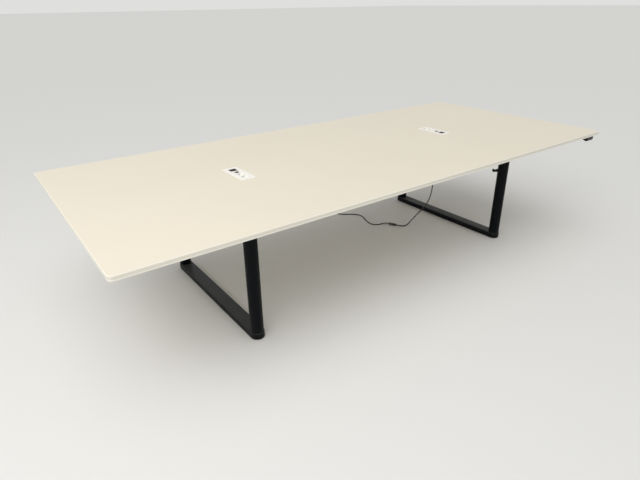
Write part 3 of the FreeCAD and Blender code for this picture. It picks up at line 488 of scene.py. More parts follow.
class Finishes:
    """Every finish of the table, each made once."""

    BOARD = Laminate("cream_laminate", (0.82, 0.76, 0.63), 0.42, specular=0.36, mottle=0.012, mottle_scale=1.6,
                     grain_scale=1500.0, grain_depth=0.000006, gloss_change=0.05)
    # The edging's colour is the board's cream, darkened as painted shade on the upright edge.
    EDGING = EdgeBand("cream_edging", (0.77, 0.735, 0.63), 0.36, mottle=0.015, mottle_scale=3.0,
                      grain_scale=1300.0, grain_depth=0.000006)
    BLACK = PowderCoat("black_powder_coat", (0.0038, 0.0046, 0.006), 0.38, specular=0.08, mottle=0.10,
                       mottle_scale=4.0, grain_scale=1800.0, grain_depth=0.000012)
    # Foot bars: the grey on their upper face is partly dust and partly a painted sheen.
    BAR = DustyTop("dusty_powder_coat", (0.0046, 0.0052, 0.0064), 0.42, specular=0.14, mottle=0.10,
                   mottle_scale=6.0, grain_scale=1800.0, grain_depth=0.000012, dust=0.8,
                   slot="black_powder_coat")
    CHANNEL = PowderCoat("channel_powder_coat", (0.0105, 0.0112, 0.013), 0.42, specular=0.4, mottle=0.12,
                         mottle_scale=5.0, grain_scale=1600.0, grain_depth=0.000016, slot="black_powder_coat")
    INNER = PowderCoat("black_inner_tube", (0.0125, 0.013, 0.0155), 0.28, mottle=0.08, mottle_scale=5.0,
                       grain_scale=2000.0, grain_depth=0.000008)
    CASTING = PowderCoat("cast_aluminium", (0.018, 0.0185, 0.02), 0.48, mottle=0.12, mottle_scale=22.0,
                         grain_scale=700.0, grain_depth=0.00005)
    MOTOR = Finish("motor_steel", (0.016, 0.016, 0.017), 0.34, mottle=0.08, mottle_scale=12.0)
    GUIDE = Finish("black_guide_plastic", (0.012, 0.012, 0.013), 0.5, mottle=0.08, mottle_scale=30.0)
    ZINC = DrawnMetal("zinc_plated_steel", (0.56, 0.56, 0.54), 0.34, metallic=1.0, mottle=0.10,
                      mottle_scale=60.0, grain_scale=1600.0, grain_depth=0.00001, gloss_change=0.2)
    STEEL = DrawnMetal("spindle_steel", (0.52, 0.52, 0.53), 0.25, metallic=1.0, mottle=0.06,
                       grain_scale=1500.0, grain_depth=0.00001, lines=(0.05, 0.05, 1.0), gloss_change=0.15)
    BRONZE = DrawnMetal("nut_bronze", (0.55, 0.38, 0.18), 0.32, metallic=1.0, mottle=0.08, mottle_scale=40.0)
    FOOT = Finish("foot_plastic", (0.014, 0.014, 0.015), 0.58, mottle=0.12, mottle_scale=30.0)
    HANDSET = Finish("handset_plastic", (0.010, 0.0105, 0.012), 0.46, specular=0.2, mottle=0.06,
                     mottle_scale=25.0, grain_scale=2600.0, grain_depth=0.00002)
    BUTTON = Finish("button_plastic", (0.042, 0.043, 0.047), 0.5, specular=0.3, mottle=0.05, mottle_scale=60.0,
                    grain_scale=2400.0, grain_depth=0.00001)
    MARK = Finish("button_mark", (0.62, 0.62, 0.62), 0.5, mottle=0.02, mottle_scale=80.0)
    CASE = Finish("control_box_plastic", (0.015, 0.015, 0.016), 0.5, mottle=0.08, mottle_scale=18.0,
                  grain_scale=1600.0, grain_depth=0.00003)
    COVER = Finish("white_cover", (0.925, 0.905, 0.85), 0.3, mottle=0.012, mottle_scale=14.0,
                   grain_scale=2200.0, grain_depth=0.000008)
    SOCKET = Finish("white_module", (0.91, 0.895, 0.845), 0.3, mottle=0.012, mottle_scale=20.0)
    CHARGER = Finish("white_usb", (0.91, 0.895, 0.845), 0.3, mottle=0.012, mottle_scale=20.0)
    DATA = Finish("black_data", (0.006, 0.006, 0.0065), 0.42, specular=0.04, mottle=0.08, mottle_scale=25.0)
    HOUSING = Finish("grey_housing", (0.20, 0.20, 0.205), 0.46, mottle=0.05, mottle_scale=12.0)
    CABLE = Finish("cable_rubber", (0.011, 0.011, 0.012), 0.5, mottle=0.12, mottle_scale=16.0,
                   grain_scale=1800.0, grain_depth=0.00002)
    COUPLER = Finish("coupler_plastic", (0.052, 0.054, 0.058), 0.28, mottle=0.08, mottle_scale=40.0)
    PLUG = Finish("plug_plastic", (0.013, 0.013, 0.014), 0.42, mottle=0.1, mottle_scale=40.0,
                  slot="coupler_plastic")
    PALE_BAND = Finish("coupler_band", (0.42, 0.42, 0.41), 0.5, mottle=0.04, mottle_scale=60.0)
    CONTACT = DrawnMetal("gilt_contact", (0.72, 0.52, 0.2), 0.25, metallic=1.0, mottle=0.05)

    _made: dict[str, bpy.types.Material] = {}

    @classmethod
    def get(cls, finish: Finish) -> bpy.types.Material:
        """The material of a finish, made on first use.

        Args:
            finish: The finish.

        Returns:
            Its material.
        """
        if finish.name not in cls._made:
            cls._made[finish.name] = finish.material()
        return cls._made[finish.name]


class Bench:
    """One piece in the making: a start that is worked with edit-mode operators and modifiers."""

    def __init__(self, item: bpy.types.Object) -> None:
        """Take a mesh object onto the bench.

        Args:
            item: The object, with its place in its mesh.
        """
        self.item = item

    @staticmethod
    def clear() -> None:
        """Deselect everything."""
        if bpy.context.object is not None and bpy.context.object.mode != "OBJECT":
            bpy.ops.object.mode_set(mode="OBJECT")
        bpy.ops.object.select_all(action="DESELECT")

    def take(self) -> "Bench":
        """Select the piece alone, and make it active.

        Returns:
            The piece.
        """
        self.clear()
        self.item.select_set(True)
        bpy.context.view_layer.objects.active = self.item
        return self

    @classmethod
    def added(cls, name: str) -> "Bench":
        """Take up the primitive just added, and put its place in its mesh.

        Args:
            name: The piece's name.

        Returns:
            The piece.
        """
        item = bpy.context.object
        item.name = name
        item.data.name = name
        bpy.ops.object.transform_apply(location=True, rotation=True, scale=True)
        return cls(item)

    @classmethod
    def block(cls, low: Point, high: Point, name: str = PATTERN) -> "Bench":
        """A cuboid between two corners.

        Args:
            low: Its lowest corner.
            high: Its highest corner.
            name: The piece's name.

        Returns:
            The piece.
        """
        cls.clear()
        first, last = Vector(low), Vector(high)
        bpy.ops.mesh.primitive_cube_add(size=1.0, location=(first + last) / 2)
        bpy.context.object.scale = last - first
        return cls.added(name)

    @classmethod
    def drum(cls, centre: Point, radius: float, depth: float, axis: Point = (0.0, 0.0, 1.0), sides: int = 48,
             name: str = PATTERN) -> "Bench":
        """A cylinder round an axis.

        Args:
            centre: Its middle.
            radius: Its radius.
            depth: Its length.
            axis: Its direction.
            sides: How many sides it has.
            name: The piece's name.

        Returns:
            The piece.
        """
        cls.clear()
        turn = Vector((0.0, 0.0, 1.0)).rotation_difference(Vector(axis)).to_euler()
        bpy.ops.mesh.primitive_cylinder_add(vertices=sides, radius=radius, depth=depth, end_fill_type="NGON",
                                            location=centre, rotation=turn)
        return cls.added(name)

    @classmethod
    def ring(cls, middle: float, radius: float, wall: float, depth: float, sides: int) -> "Bench":
        """A ring round the origin: a drum whose caps are inset, removed and bridged.

        Args:
            middle: The height of its middle.
            radius: Its outer radius.
            wall: Its wall.
            depth: Its height.
            sides: How many sides it has.

        Returns:
            The piece.
        """
        bore, hub = within(0.0, 0.0, radius - wall / 2), within(0.0, 0.0, wall / 2)
        piece = cls.drum((0.0, 0.0, middle), radius, depth, sides=sides).inset(level, wall)
        piece.remove(lambda centre, normal: level(centre, normal) and hub(centre))
        return piece.bridge(lambda a, b: bore(a) and bore(b) and abs(a.z - b.z) < depth / 2)

    @classmethod
    def frame(cls, outline: Outline, opening: Outline, low: float, high: float, arris: float = 0.0003) -> "Bench":
        """A flat frame: a cuboid whose faces are inset, drawn to the opening, removed and bridged.

        Args:
            outline: Its least X and Y and greatest X and Y.
            opening: The same of its opening.
            low: Its underside's height.
            high: Its face's height.
            arris: The width of its broken edges.

        Returns:
            The piece.
        """
        piece = cls.block((*outline[:2], low), (*outline[2:], high)).inset(level, HAIR)
        inset = [outline[0] + HAIR, outline[1] + HAIR, outline[2] - HAIR, outline[3] - HAIR]
        inside: SpotTest = lambda spot: (inset[0] - HAIR / 2 < spot.x < inset[2] + HAIR / 2
                                         and inset[1] - HAIR / 2 < spot.y < inset[3] + HAIR / 2)
        for place in range(4):
            axis, greatest = place % 2, place > 1
            middle = (outline[axis] + outline[axis + 2]) / 2
            offset = [0.0, 0.0, 0.0]
            offset[axis] = opening[place] - inset[place]
            piece.shift(lambda spot: inside(spot) and (spot[axis] > middle) == greatest, offset)
        hub = Vector(((opening[0] + opening[2]) / 2, (opening[1] + opening[3]) / 2))
        piece.remove(lambda centre, normal: level(centre, normal) and (centre.xy - hub).length < HAIR)
        piece.bridge(lambda a, b: inside(a) and inside(b) and abs(a.z - b.z) < (high - low) / 2)
        return piece.arris(arris).outward()

    @classmethod
    def copy_of(cls, name: str, node: str) -> "Bench":
        """A merged copy of a CAD node, with its flat faces made whole.

        Args:
            name: The piece's name.
            node: The CAD node.

        Returns:
            The piece.
        """
        item = bpy.data.objects.new(name, bpy.data.objects[node].data.copy())
        item.data.name = name
        bpy.context.scene.collection.objects.link(item)
        piece = cls(item).take()
        bpy.ops.object.mode_set(mode="EDIT")
        bpy.ops.mesh.select_all(action="SELECT")
        bpy.ops.mesh.remove_doubles(threshold=0.000002)
        bpy.ops.mesh.dissolve_limited(angle_limit=math.radians(0.4))
        bpy.ops.object.mode_set(mode="OBJECT")
        return piece

    def _work(self, mode: str, test: Optional[Callable[..., bool]], operator: Callable[..., object],
              **settings: object) -> "Bench":
        """Run an edit-mode operator on a part of the piece.

        Args:
            mode: Whether faces, edges or corners are tested.
            test: The test that they pass, or None for what the last operator left selected.
            operator: The operator.
            **settings: Its settings.

        Returns:
            The piece.
        """
        self.take()
        bpy.ops.object.mode_set(mode="EDIT")
        bpy.ops.mesh.select_mode(type=mode)
        if test is not None:
            bpy.ops.mesh.select_all(action="DESELECT")
            grid = bmesh.from_edit_mesh(self.item.data)
            if mode == "FACE":
                for face in grid.faces:
                    face.select_set(test(face.calc_center_median(), face.normal))
            elif mode == "EDGE":
                for edge in grid.edges:
                    edge.select_set(test(edge.verts[0].co, edge.verts[1].co))
            else:
                for corner in grid.verts:
                    corner.select_set(test(corner.co))
            grid.select_flush_mode()
            bmesh.update_edit_mesh(self.item.data)
        operator(**settings)
        bpy.ops.object.mode_set(mode="OBJECT")
        return self

    def inset(self, test: PairTest, width: float) -> "Bench":
        """Inset the faces whose middle and normal pass a test."""
        return self._work("FACE", test, bpy.ops.mesh.inset, thickness=width, depth=0.0)

    def extrude(self, test: Optional[PairTest], offset: Point) -> "Bench":
        """Extrude the faces that pass a test, or those left selected."""
        return self._work("FACE", test, bpy.ops.mesh.extrude_region_move, TRANSFORM_OT_translate={"value": offset})

    def pocket(self, test: PairTest, rim: float, depth: float) -> "Bench":
        """Inset the faces that pass a test, and raise or sink what is inside the rim."""
        return self.inset(test, rim).extrude(None, (0.0, 0.0, depth))

    def bevel(self, test: PairTest, width: float, segments: int = 3) -> "Bench":
        """Round the edges whose two ends pass a test."""
        return self._work("EDGE", test, bpy.ops.mesh.bevel, offset=width, segments=segments, affect="EDGES",
                          clamp_overlap=True)

    def shift(self, test: SpotTest, offset: Sequence[float]) -> "Bench":
        """Move the corners that pass a test."""
        return self._work("VERT", test, bpy.ops.transform.translate, value=offset)

    def resize(self, test: SpotTest, share: Point, centre: Point) -> "Bench":
        """Scale the corners that pass a test round a point."""
        return self._work("VERT", test, bpy.ops.transform.resize, value=share, center_override=centre)

    def remove(self, test: PairTest) -> "Bench":
        """Delete the faces that pass a test."""
        return self._work("FACE", test, bpy.ops.mesh.delete, type="FACE")

    def bridge(self, test: PairTest) -> "Bench":
        """Bridge the edge loops that pass a test."""
        return self._work("EDGE", test, bpy.ops.mesh.bridge_edge_loops)

    def cut(self, point: Point, across: Point) -> "Bench":
        """Cut new edges where a plane crosses the piece."""
        return self._work("FACE", everywhere, bpy.ops.mesh.bisect, plane_co=point, plane_no=across)

    def outward(self) -> "Bench":
        """Point every face outwards."""
        return self._work("FACE", everywhere, bpy.ops.mesh.normals_make_consistent, inside=False)

    def arris(self, width: float) -> "Bench":
        """Break every sharp edge.

        Args:
            width: The arris's width.

        Returns:
            The piece.
        """
        self.take()
        added = self.item.modifiers.new("arris", "BEVEL")
        added.width = width
        added.segments = 2
        added.limit_method = "ANGLE"
        added.angle_limit = math.radians(40.0)
        added.harden_normals = False
        added.miter_outer = "MITER_ARC"
        bpy.ops.object.modifier_apply(modifier=added.name)
        return self

    def cast(self, places: Mapping[str, Matrix]) -> list["Bench"]:
        """Copy the pattern to every place, each copy with its own mesh, and do away with the pattern.

        Args:
            places: The copies' names, and where each is from the pattern.

        Returns:
            The copies.
        """
        copies = []
        for name, place in places.items():
            item = self.item.copy()
            item.data = self.item.data.copy()
            item.name = name
            item.data.name = name
            item.data.transform(place)
            bpy.context.scene.collection.objects.link(item)
            copies.append(Bench(item))
        bpy.data.objects.remove(self.item)
        return copies

    @classmethod
    def together(cls, pieces: Sequence["Bench"]) -> "Bench":
        """Join pieces into the first of them.

        Args:
            pieces: The pieces.

        Returns:
            The first piece.
        """
        cls.clear()
        for piece in pieces:
            piece.item.select_set(True)
        bpy.context.view_layer.objects.active = pieces[0].item
        bpy.ops.object.join()
        return pieces[0]

    def repeated(self, places: Sequence[Matrix]) -> "Bench":
        """Copy the pattern to every place, and join the copies to one pattern."""
        return Bench.together(self.cast({"%s_%d" % (PATTERN, number): place for number, place in enumerate(places)}))

    def done(self, finish: Finish, body: Body, nodes: Sequence[str] = (), slot: Optional[str] = None,
             smooth: float = 32.0) -> bpy.types.Object:
        """Smooth and dress the piece, and set it on its body.

        Args:
            finish: Its finish.
            body: The body that it rides on.
            nodes: The CAD nodes that it stands for.
            slot: A material slot's name, where it isn't the finish's own; not used.
            smooth: The angle, in degrees, under which faces shade smoothly.

        Returns:
            The object.
        """
        self.take()
        bpy.ops.object.shade_smooth_by_angle(angle=math.radians(smooth))
        self.item.data.materials.clear()
        self.item.data.materials.append(Finishes.get(finish))
        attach(self.item, body.value)
        if nodes:
            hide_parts(*nodes)
        LOG.info("%s: %d faces on %s", self.item.name, len(self.item.data.polygons), body.value)
        return self.item


def dress(node: str, finish: Finish) -> None:
    """Give a CAD node a finish.

    Args:
        node: The node.
        finish: The finish.
    """
    item = bpy.data.objects[node]
    if not item.material_slots:
        item.data.materials.append(None)
    for place in item.material_slots:
        place.material = Finishes.get(finish)


def smoothed(name: str, node: str, finish: Finish, body: Body, arris: float = 0.0) -> bpy.types.Object:
    """Stand a smooth copy in for a CAD node.

    Args:
        name: The piece's name.
        node: The CAD node.
        finish: The finish.
        body: The body that it rides on.
        arris: The width of the broken edges; 0 leaves them sharp.

    Returns:
        The object.
    """
    piece = Bench.copy_of(name, node)
    if arris:
        piece.arris(arris)
    return piece.done(finish, body, [node])


@dataclass
class TableTop:
    """The laminated board and the band round its edge."""

    length: float = 3.2
    width: float = 1.4
    height: float = 0.685
    thick: float = 0.022
    corner: float = 0.022
    band: float = 0.002
    arris: float = 0.0011

    def edging(self) -> None:
        """Make the edge band: a block with round corners, opened to a ring, its long edges broken."""
        half = (self.length / 2, self.width / 2)
        ring = Bench.block((-half[0], -half[1], self.height - self.thick), (half[0], half[1], self.height), "edging")
        ring.bevel(upright, self.corner, 10).inset(level, self.band)
        hub = within(0.0, 0.0, self.width / 4)
        ring.remove(lambda centre, normal: level(centre, normal) and hub(centre))
        ring.bridge(lambda a, b: self._on_opening(a) and self._on_opening(b) and lying(a, b))
        ring.bevel(lambda a, b: self._on_rim(a) and self._on_rim(b) and lying(a, b), self.arris, 4).outward()
        ring.done(Finishes.EDGING, Body.TOP, ["edge_band"], smooth=50.0)

    def _from_rim(self, place: Vector) -> float:
        """How far a place lies inside the top's outline.

        Args:
            place: The place.

        Returns:
            The distance.
        """
        x = abs(place.x) - (self.length / 2 - self.corner)
        y = abs(place.y) - (self.width / 2 - self.corner)
        return self.corner - (math.hypot(x, y) if x > 0 and y > 0 else max(x, y))

    def _on_rim(self, place: Vector) -> bool:
        """True on the top's outer outline."""
        return self._from_rim(place) < self.band * 0.3

    def _on_opening(self, place: Vector) -> bool:
        """True on the band's inner outline."""
        return abs(self._from_rim(place) - self.band) < self.band * 0.4

    def build(self) -> None:
        """Make the edging and dress the board."""
        dress("tabletop", Finishes.BOARD)
        self.edging()


@dataclass
class Columns:
    """The telescopic columns: outer tubes on the foot bars, inner tubes in them, and one column's cable hook."""

    x: float = 0.94
    y: float = 0.443
    outer: Pair = (0.033, 0.003)
    outer_ends: Pair = (0.036, 0.590)
    outer_lip: float = 0.0007
    inner: Pair = (0.0285, 0.0025)
    inner_ends: Pair = (0.066, 0.620)
    inner_lip: float = 0.0005
    collar_arris: float = 0.0005
    hook_arris: float = 0.0012
    sides: int = 96

    def tubes(self, name: str, size: Pair, ends: Pair, lip: float) -> list[Bench]:
        """Make a tube with rounded lips, and stand it at every column.

        Args:
            name: The tubes' name, without the column's.
            size: Their outer radius and their wall.
            ends: The heights of their ends.
            lip: The rounding of their lips.

        Returns:
            The four tubes.
        """
        piece = Bench.ring(sum(ends) / 2, *size, ends[1] - ends[0], self.sides)
        bore = within(0.0, 0.0, size[0] - size[1] / 2)
        piece.bevel(lambda a, b: lying(a, b) and not bore(a) and not bore(b), lip).outward()
        return piece.cast({name + corner.node_end: corner.at(self.x, self.y) for corner in Corner})

    def build(self) -> None:
        """Make both kinds of tubes and the hook, and dress what is inside the tubes."""
        for corner, piece in zip(Corner, self.tubes("outer_column_", self.outer, self.outer_ends, self.outer_lip)):
            piece.done(Finishes.BLACK, Body.BASE, ["outer_tube_" + corner.node_end])
        for corner, piece in zip(Corner, self.tubes("inner_column_", self.inner, self.inner_ends, self.inner_lip)):
            piece.done(Finishes.INNER, Body.TOP, ["inner_tube_" + corner.node_end])
            dress("spindle_" + corner.node_end, Finishes.STEEL)
        for node, finish in (("spindle_nuts", Finishes.BRONZE), ("thrust_bearings", Finishes.STEEL),
                             ("guide_bushes", Finishes.GUIDE), ("push_tubes", Finishes.ZINC)):
            dress(node, finish)
        smoothed("collar_rings", "guide_collars", Finishes.GUIDE, Body.BASE, self.collar_arris)
        smoothed("cable_hanger", "cable_hook", Finishes.BLACK, Body.BASE, self.hook_arris)


@dataclass
class Feet:
    """The feet: the two bars, their levelling feet, and the plates and screws that hold the columns to them."""

    pad_radius: float = 0.022
    pad_height: float = 0.004
    sole_rim: float = 0.003
    sole_depth: float = 0.0008
    stud_radius: float = 0.005
    stud_top: float = 0.026
    stud_rim: float = 0.001
    pad_arris: float = 0.0004
    stud_arris: float = 0.0005
    grips: int = 18

    def levelling_feet(self) -> None:
        """Make the levelling feet: pads with a sunk sole, and plated studs."""
        pad = Bench.drum((0.0, 0.0, self.pad_height / 2), self.pad_radius, self.pad_height, sides=self.grips * 4)
        pad.pocket(looks_down, self.sole_rim, self.sole_depth).arris(self.pad_arris)
        stud = Bench.drum((0.0, 0.0, (self.pad_height + self.stud_top) / 2), self.stud_radius,
                          self.stud_top - self.pad_height, sides=32)
        stud.inset(looks_up, self.stud_rim).arris(self.stud_arris)
        places = {}
        for corner in Corner:
            low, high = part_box("levelling_foot_" + corner.node_end)
            places[corner.node_end] = moved((low[0] + high[0]) / 2, (low[1] + high[1]) / 2)
        pads = pad.cast({"levelling_pad_" + end: place for end, place in places.items()})
        studs = stud.cast({"levelling_stud_" + end: place for end, place in places.items()})
        for end, sole, rod in zip(places, pads, studs):
            body = Body("levelling_foot_" + end)
            rod.done(Finishes.ZINC, body)
            sole.done(Finishes.FOOT, body, [body.value])

    def build(self) -> None:
        """Make the bars and the levelling feet, and dress their screws and plates."""
        for side in Side:
            smoothed("foot_beam_" + side.node_end, "foot_bar_" + side.node_end, Finishes.BAR, Body.BASE)
        self.levelling_feet()
        dress("column_foot_plates", Finishes.ZINC)
        dress("foot_screws", Finishes.ZINC)


@dataclass
class Steelwork:
    """The frame under the top, with its bolts and screws, and the gear heads and motors."""

    column_x: float = 0.94
    motor_start: float = 0.395
    motor_z: float = 0.630
    motor_radius: float = 0.023
    flange: Pair = (0.0015, 0.006)
    joint: Pair = (0.0009, 0.0035)
    joint_place: float = 0.084
    gland: Pair = (0.014, 0.018)
    gland_place: float = 0.06
    gland_ends: Pair = (-0.0265, -0.0205)
    gland_corner: float = 0.003
    channel_arris: float = 0.0006
    head_arris: float = 0.0012
    motor_arris: float = 0.0008
    bolt_arris: float = 0.0005

    def motor_trims(self) -> None:
        """Make the motors' flanges, rolled can joints and lead glands."""
        along = (0.0, 1.0, 0.0)
        flange = Bench.drum((0.0, self.flange[1] / 2, self.motor_z), self.motor_radius + self.flange[0],
                            self.flange[1], along, 64)
        joint = Bench.drum((0.0, self.joint_place, self.motor_z), self.motor_radius + self.joint[0],
                           self.joint[1], along, 64)
        outline = about(0.0, self.gland_place, self.gland)
        low, high = raised(self.motor_z, self.gland_ends)
        gland = Bench.block((*outline[:2], low), (*outline[2:], high)).bevel(upright, self.gland_corner)
        trim = Bench.together([piece.arris(self.motor_arris) for piece in (flange, joint, gland)])
        trims = trim.cast({"motor_trim_" + corner.node_end: corner.at(self.column_x, self.motor_start)
                           for corner in Corner})
        Bench.together(trims).done(Finishes.MOTOR, Body.TOP)

    def build(self) -> None:
        """Make every piece of the steelwork and the drives."""
        for name, node, finish, arris in (
            ("side_channel_left", "side_arm_left", Finishes.CHANNEL, self.channel_arris),
            ("side_channel_right", "side_arm_right", Finishes.CHANNEL, self.channel_arris),
            ("rail_channel_front", "long_rail_front", Finishes.CHANNEL, self.channel_arris),
            ("rail_channel_back", "long_rail_back", Finishes.CHANNEL, self.channel_arris),
            ("outrigger_channels", "outriggers", Finishes.CHANNEL, self.channel_arris),
            ("motor_cans", "lift_motors", Finishes.MOTOR, self.motor_arris),
            ("bolt_heads", "frame_bolts", Finishes.ZINC, self.bolt_arris),
            ("screw_heads", "top_screws", Finishes.ZINC, self.bolt_arris),
        ):
            smoothed(name, node, finish, Body.TOP, arris)
        for corner in Corner:
            end = corner.node_end
            smoothed("gear_casting_" + end, "gear_head_" + end, Finishes.CASTING, Body.TOP, self.head_arris)
        self.motor_trims()


@dataclass
class PowerUnits:
    """The power units let into the top: white covers, mains sockets, chargers and data modules."""

    x: float = 0.745
    face: float = 0.687
    pitch: float = 0.045
    well_radius: float = 0.0195
    well_depth: float = 0.007
    collar: Pair = (0.0024, 0.0012)
    spring: Pair = (0.0044, 0.0011)
    spring_inset: float = 0.0004
    spring_drop: float = 0.0006
    spring_lean: float = 0.0022
    spring_arris: float = 0.0003
    port: Pair = (0.013, 0.010)
    port_spread: float = 0.020
    port_border: float = 0.0022
    rim_ends: Pair = (-0.0002, 0.0007)
    contacts: int = 8
    contact_pitch: float = 0.00102
    contact_width: float = 0.0004
    contact_row: float = 0.0048
    contact_root: float = 0.0125
    contact_tip: float = 0.003
    contact_slope: Point = (0.0, 0.0018, -0.001)
    module: Pair = (0.046, 0.0447)
    insert: Pair = (0.041, 0.038)
    insert_depth: float = 0.0016
    insert_wall: float = 0.0008
    bezel_ends: Pair = (-0.0001, 0.0006)
    wall_ends: Pair = (-0.0018, 0.0004)
    shell_wall: float = 0.00045
    shell_ends: Pair = (-0.0095, 0.0009)
    charger_slot: Pair = (0.01296, 0.00496)
    slot_spread: float = 0.0074
    slot_depth: float = 0.0088
    slot_wall: float = 0.0003
    charger_rim: float = 0.0200
    charger_ends: Pair = (-0.0003, 0.0005)
    tongue: Pair = (0.0114, 0.0023)
    tongue_ends: Pair = (-0.0086, 0.0001)
    tongue_tip: float = 0.0003
    thin_arris: float = 0.0001
    charger_arris: float = 0.0002
    cover_arris: float = 0.0004
    socket_arris: float = 0.0005
    housing_arris: float = 0.0008

    def along(self, place: int) -> float:
        """The right unit's module's Y, counted from the outer mains socket."""
        return self.pitch * (1.5 - place)

    def cast(self, pattern: Bench, name: str, place: int) -> list[Bench]:
        """Set a pattern into a module of both units.

        Args:
            pattern: The pattern, modelled round the origin for the right unit.
            name: The pieces' name, with %s for the side.
            place: Which module, counted from the outer mains socket.

        Returns:
            The left and the right piece.
        """
        return pattern.cast({name % side.node_end: side.at(self.x, self.along(place)) for side in Side})

    def socket_collar(self) -> Bench:
        """Model a mains socket's raised collar."""
        wall, tall = self.collar
        return Bench.ring(self.face, self.well_radius + wall, wall, tall, 64).arris(self.socket_arris).outward()

    def socket_springs(self) -> Bench:
        """Model a mains socket's two earth springs.

        Returns:
            The pattern.
        """
        floor, edge = self.face - self.well_depth, self.well_radius - self.spring_inset
        wide, thick = self.spring
        clip = Bench.block((-wide / 2, edge - thick, floor), (wide / 2, edge, self.face - self.spring_drop))
        clip.shift(lambda spot: spot.z < floor + HAIR, (0.0, -self.spring_lean, 0.0))
        return clip.arris(self.spring_arris).repeated([Matrix(), HALF_TURN])

    def port_contacts(self) -> Bench:
        """Model the gilt contacts of a data module's two ports.

        Returns:
            The pattern.
        """
        tip = self.face - self.insert_depth - self.contact_tip
        outline = about(0.0, -self.contact_row, (self.contact_width, self.contact_width))
        wire = Bench.block((*outline[:2], self.face - self.contact_root), (*outline[2:], tip))
        wire.shift(lambda spot: spot.z > tip - HAIR, self.contact_slope)
        first = (1 - self.contacts) / 2
        return wire.repeated([moved(end * self.port_spread / 2 + (first + pin) * self.contact_pitch, 0.0)
                              for end in (-1, 1) for pin in range(self.contacts)])

    def port_rims(self) -> Bench:
        """Model the rims round a data module's two ports.

        Returns:
            The pattern.
        """
        outline = about(0.0, 0.0, (self.port[0] + self.port_border, self.port[1] + self.port_border))
        ends = raised(self.face - self.insert_depth, self.rim_ends)
        rim = Bench.frame(outline, about(0.0, 0.0, self.port), *ends)
        return rim.repeated([moved(end * self.port_spread / 2, 0.0) for end in (-1, 1)])

    def bezel(self) -> Bench:
        """Model the white frame round the data module's black insert, and its walls down to the insert.

        Returns:
            The pattern.
        """
        opening = about(0.0, 0.0, self.insert)
        walls = about(0.0, 0.0, (self.insert[0] + 2 * self.insert_wall, self.insert[1] + 2 * self.insert_wall))
        return Bench.together([
            Bench.frame(about(0.0, 0.0, self.module), opening, *raised(self.face, self.bezel_ends)),
            Bench.frame(walls, opening, *raised(self.face, self.wall_ends), self.thin_arris),
        ])

    def port_shell(self) -> Bench:
        """Model the grey shell that lines the outer data port and leaves it open.

        Returns:
            The pattern.
        """
        x, slack = self.port_spread / 2, 2 * self.shell_wall
        shell = (self.port[0] - HAIR, self.port[1] - HAIR)
        bore = (shell[0] - slack, shell[1] - slack)
        ends = raised(self.face - self.insert_depth, self.shell_ends)
        return Bench.frame(about(x, 0.0, shell), about(x, 0.0, bore), *ends, self.thin_arris)

    def charger_ports(self) -> Bench:
        """Model the charger's black insert: each slot's raised frame, liner and tongue.

        Returns:
            The pattern.
        """
        slot = about(0.0, self.slot_spread / 2, self.charger_slot)
        outline = about(0.0, self.charger_rim / 4, (self.charger_rim, self.charger_rim / 2))
        rim = Bench.frame(outline, slot, *raised(self.face, self.charger_ends), self.charger_arris)
        liner = Bench.block((*slot[:2], self.face - self.slot_depth), (*slot[2:], self.face))
        liner.pocket(looks_up, self.slot_wall, self.slot_wall - self.slot_depth)
        outline = about(0.0, self.slot_spread / 2, self.tongue)
        root, tip = raised(self.face, self.tongue_ends)
        tongue = Bench.block((*outline[:2], root), (*outline[2:], tip))
        tongue.bevel(lambda a, b: a.z > self.face and b.z > self.face, self.tongue_tip, 2)
        return Bench.together([rim, liner, tongue]).repeated([HALF_TURN, Matrix()])

    def network(self) -> None:
        """Make the data modules: blocks whose faces are sunk inside the white frames."""
        piece = Bench.copy_of("network_modules", "data_modules").arris(self.cover_arris)
        reach = (self.insert[0] / 2 + self.insert_wall, self.insert[1] / 2 + self.insert_wall)
        for side in Side:
            x, y = side.value * self.x, side.value * self.along(3)
            for gap in (0.0, HAIR):
                for way in (-1, 1):
                    piece.cut((x + way * (reach[0] - gap), y, self.face), (1.0, 0.0, 0.0))
                    piece.cut((x, y + way * (reach[1] - gap), self.face), (0.0, 1.0, 0.0))
            inner = (reach[0] - HAIR * 0.75, reach[1] - HAIR * 0.75)
            piece.shift(lambda spot: abs(spot.x - x) < inner[0] and abs(spot.y - y) < inner[1]
                        and spot.z > self.face - self.insert_depth / 2, (0.0, 0.0, -self.insert_depth))
        piece.done(Finishes.DATA, Body.TOP, ["data_modules"])

    def build(self) -> None:
        """Make the units' covers, housings, modules and trims."""
        for side in Side:
            end = side.node_end
            smoothed("unit_frame_" + end, "power_cover_" + end, Finishes.COVER, Body.TOP, self.cover_arris)
            smoothed("unit_box_" + end, "power_housing_" + end, Finishes.HOUSING, Body.TOP, self.housing_arris)
        smoothed("mains_modules", "power_sockets", Finishes.SOCKET, Body.TOP, self.socket_arris)
        smoothed("charging_modules", "usb_modules", Finishes.CHARGER, Body.TOP, self.cover_arris)
        self.network()
        trims = [
            (self.port_contacts(), "contact_%s_-1_0", 3, Finishes.CONTACT, "nut_bronze"),
            (self.port_rims(), "port_rim_%s_-1", 3, Finishes.DATA, None),
            (self.bezel(), "data_bezel_%s", 3, Finishes.SOCKET, None),
            (self.port_shell(), "port_shell_%s", 3, Finishes.HOUSING, None),
            (self.charger_ports(), "charger_%s_-1_rim", 2, Finishes.DATA, None),
        ]
        for place in (0, 1):
            number = "socket_%s_" + str(place)
            trims.append((self.socket_collar(), number + "_collar", place, Finishes.SOCKET, None))
            trims.append((self.socket_springs(), number + "_spring_-1", place, Finishes.ZINC, None))
        for pattern, name, place, finish, slot in trims:
            for piece in self.cast(pattern, name, place):
                piece.done(finish, Body.TOP, slot=slot)


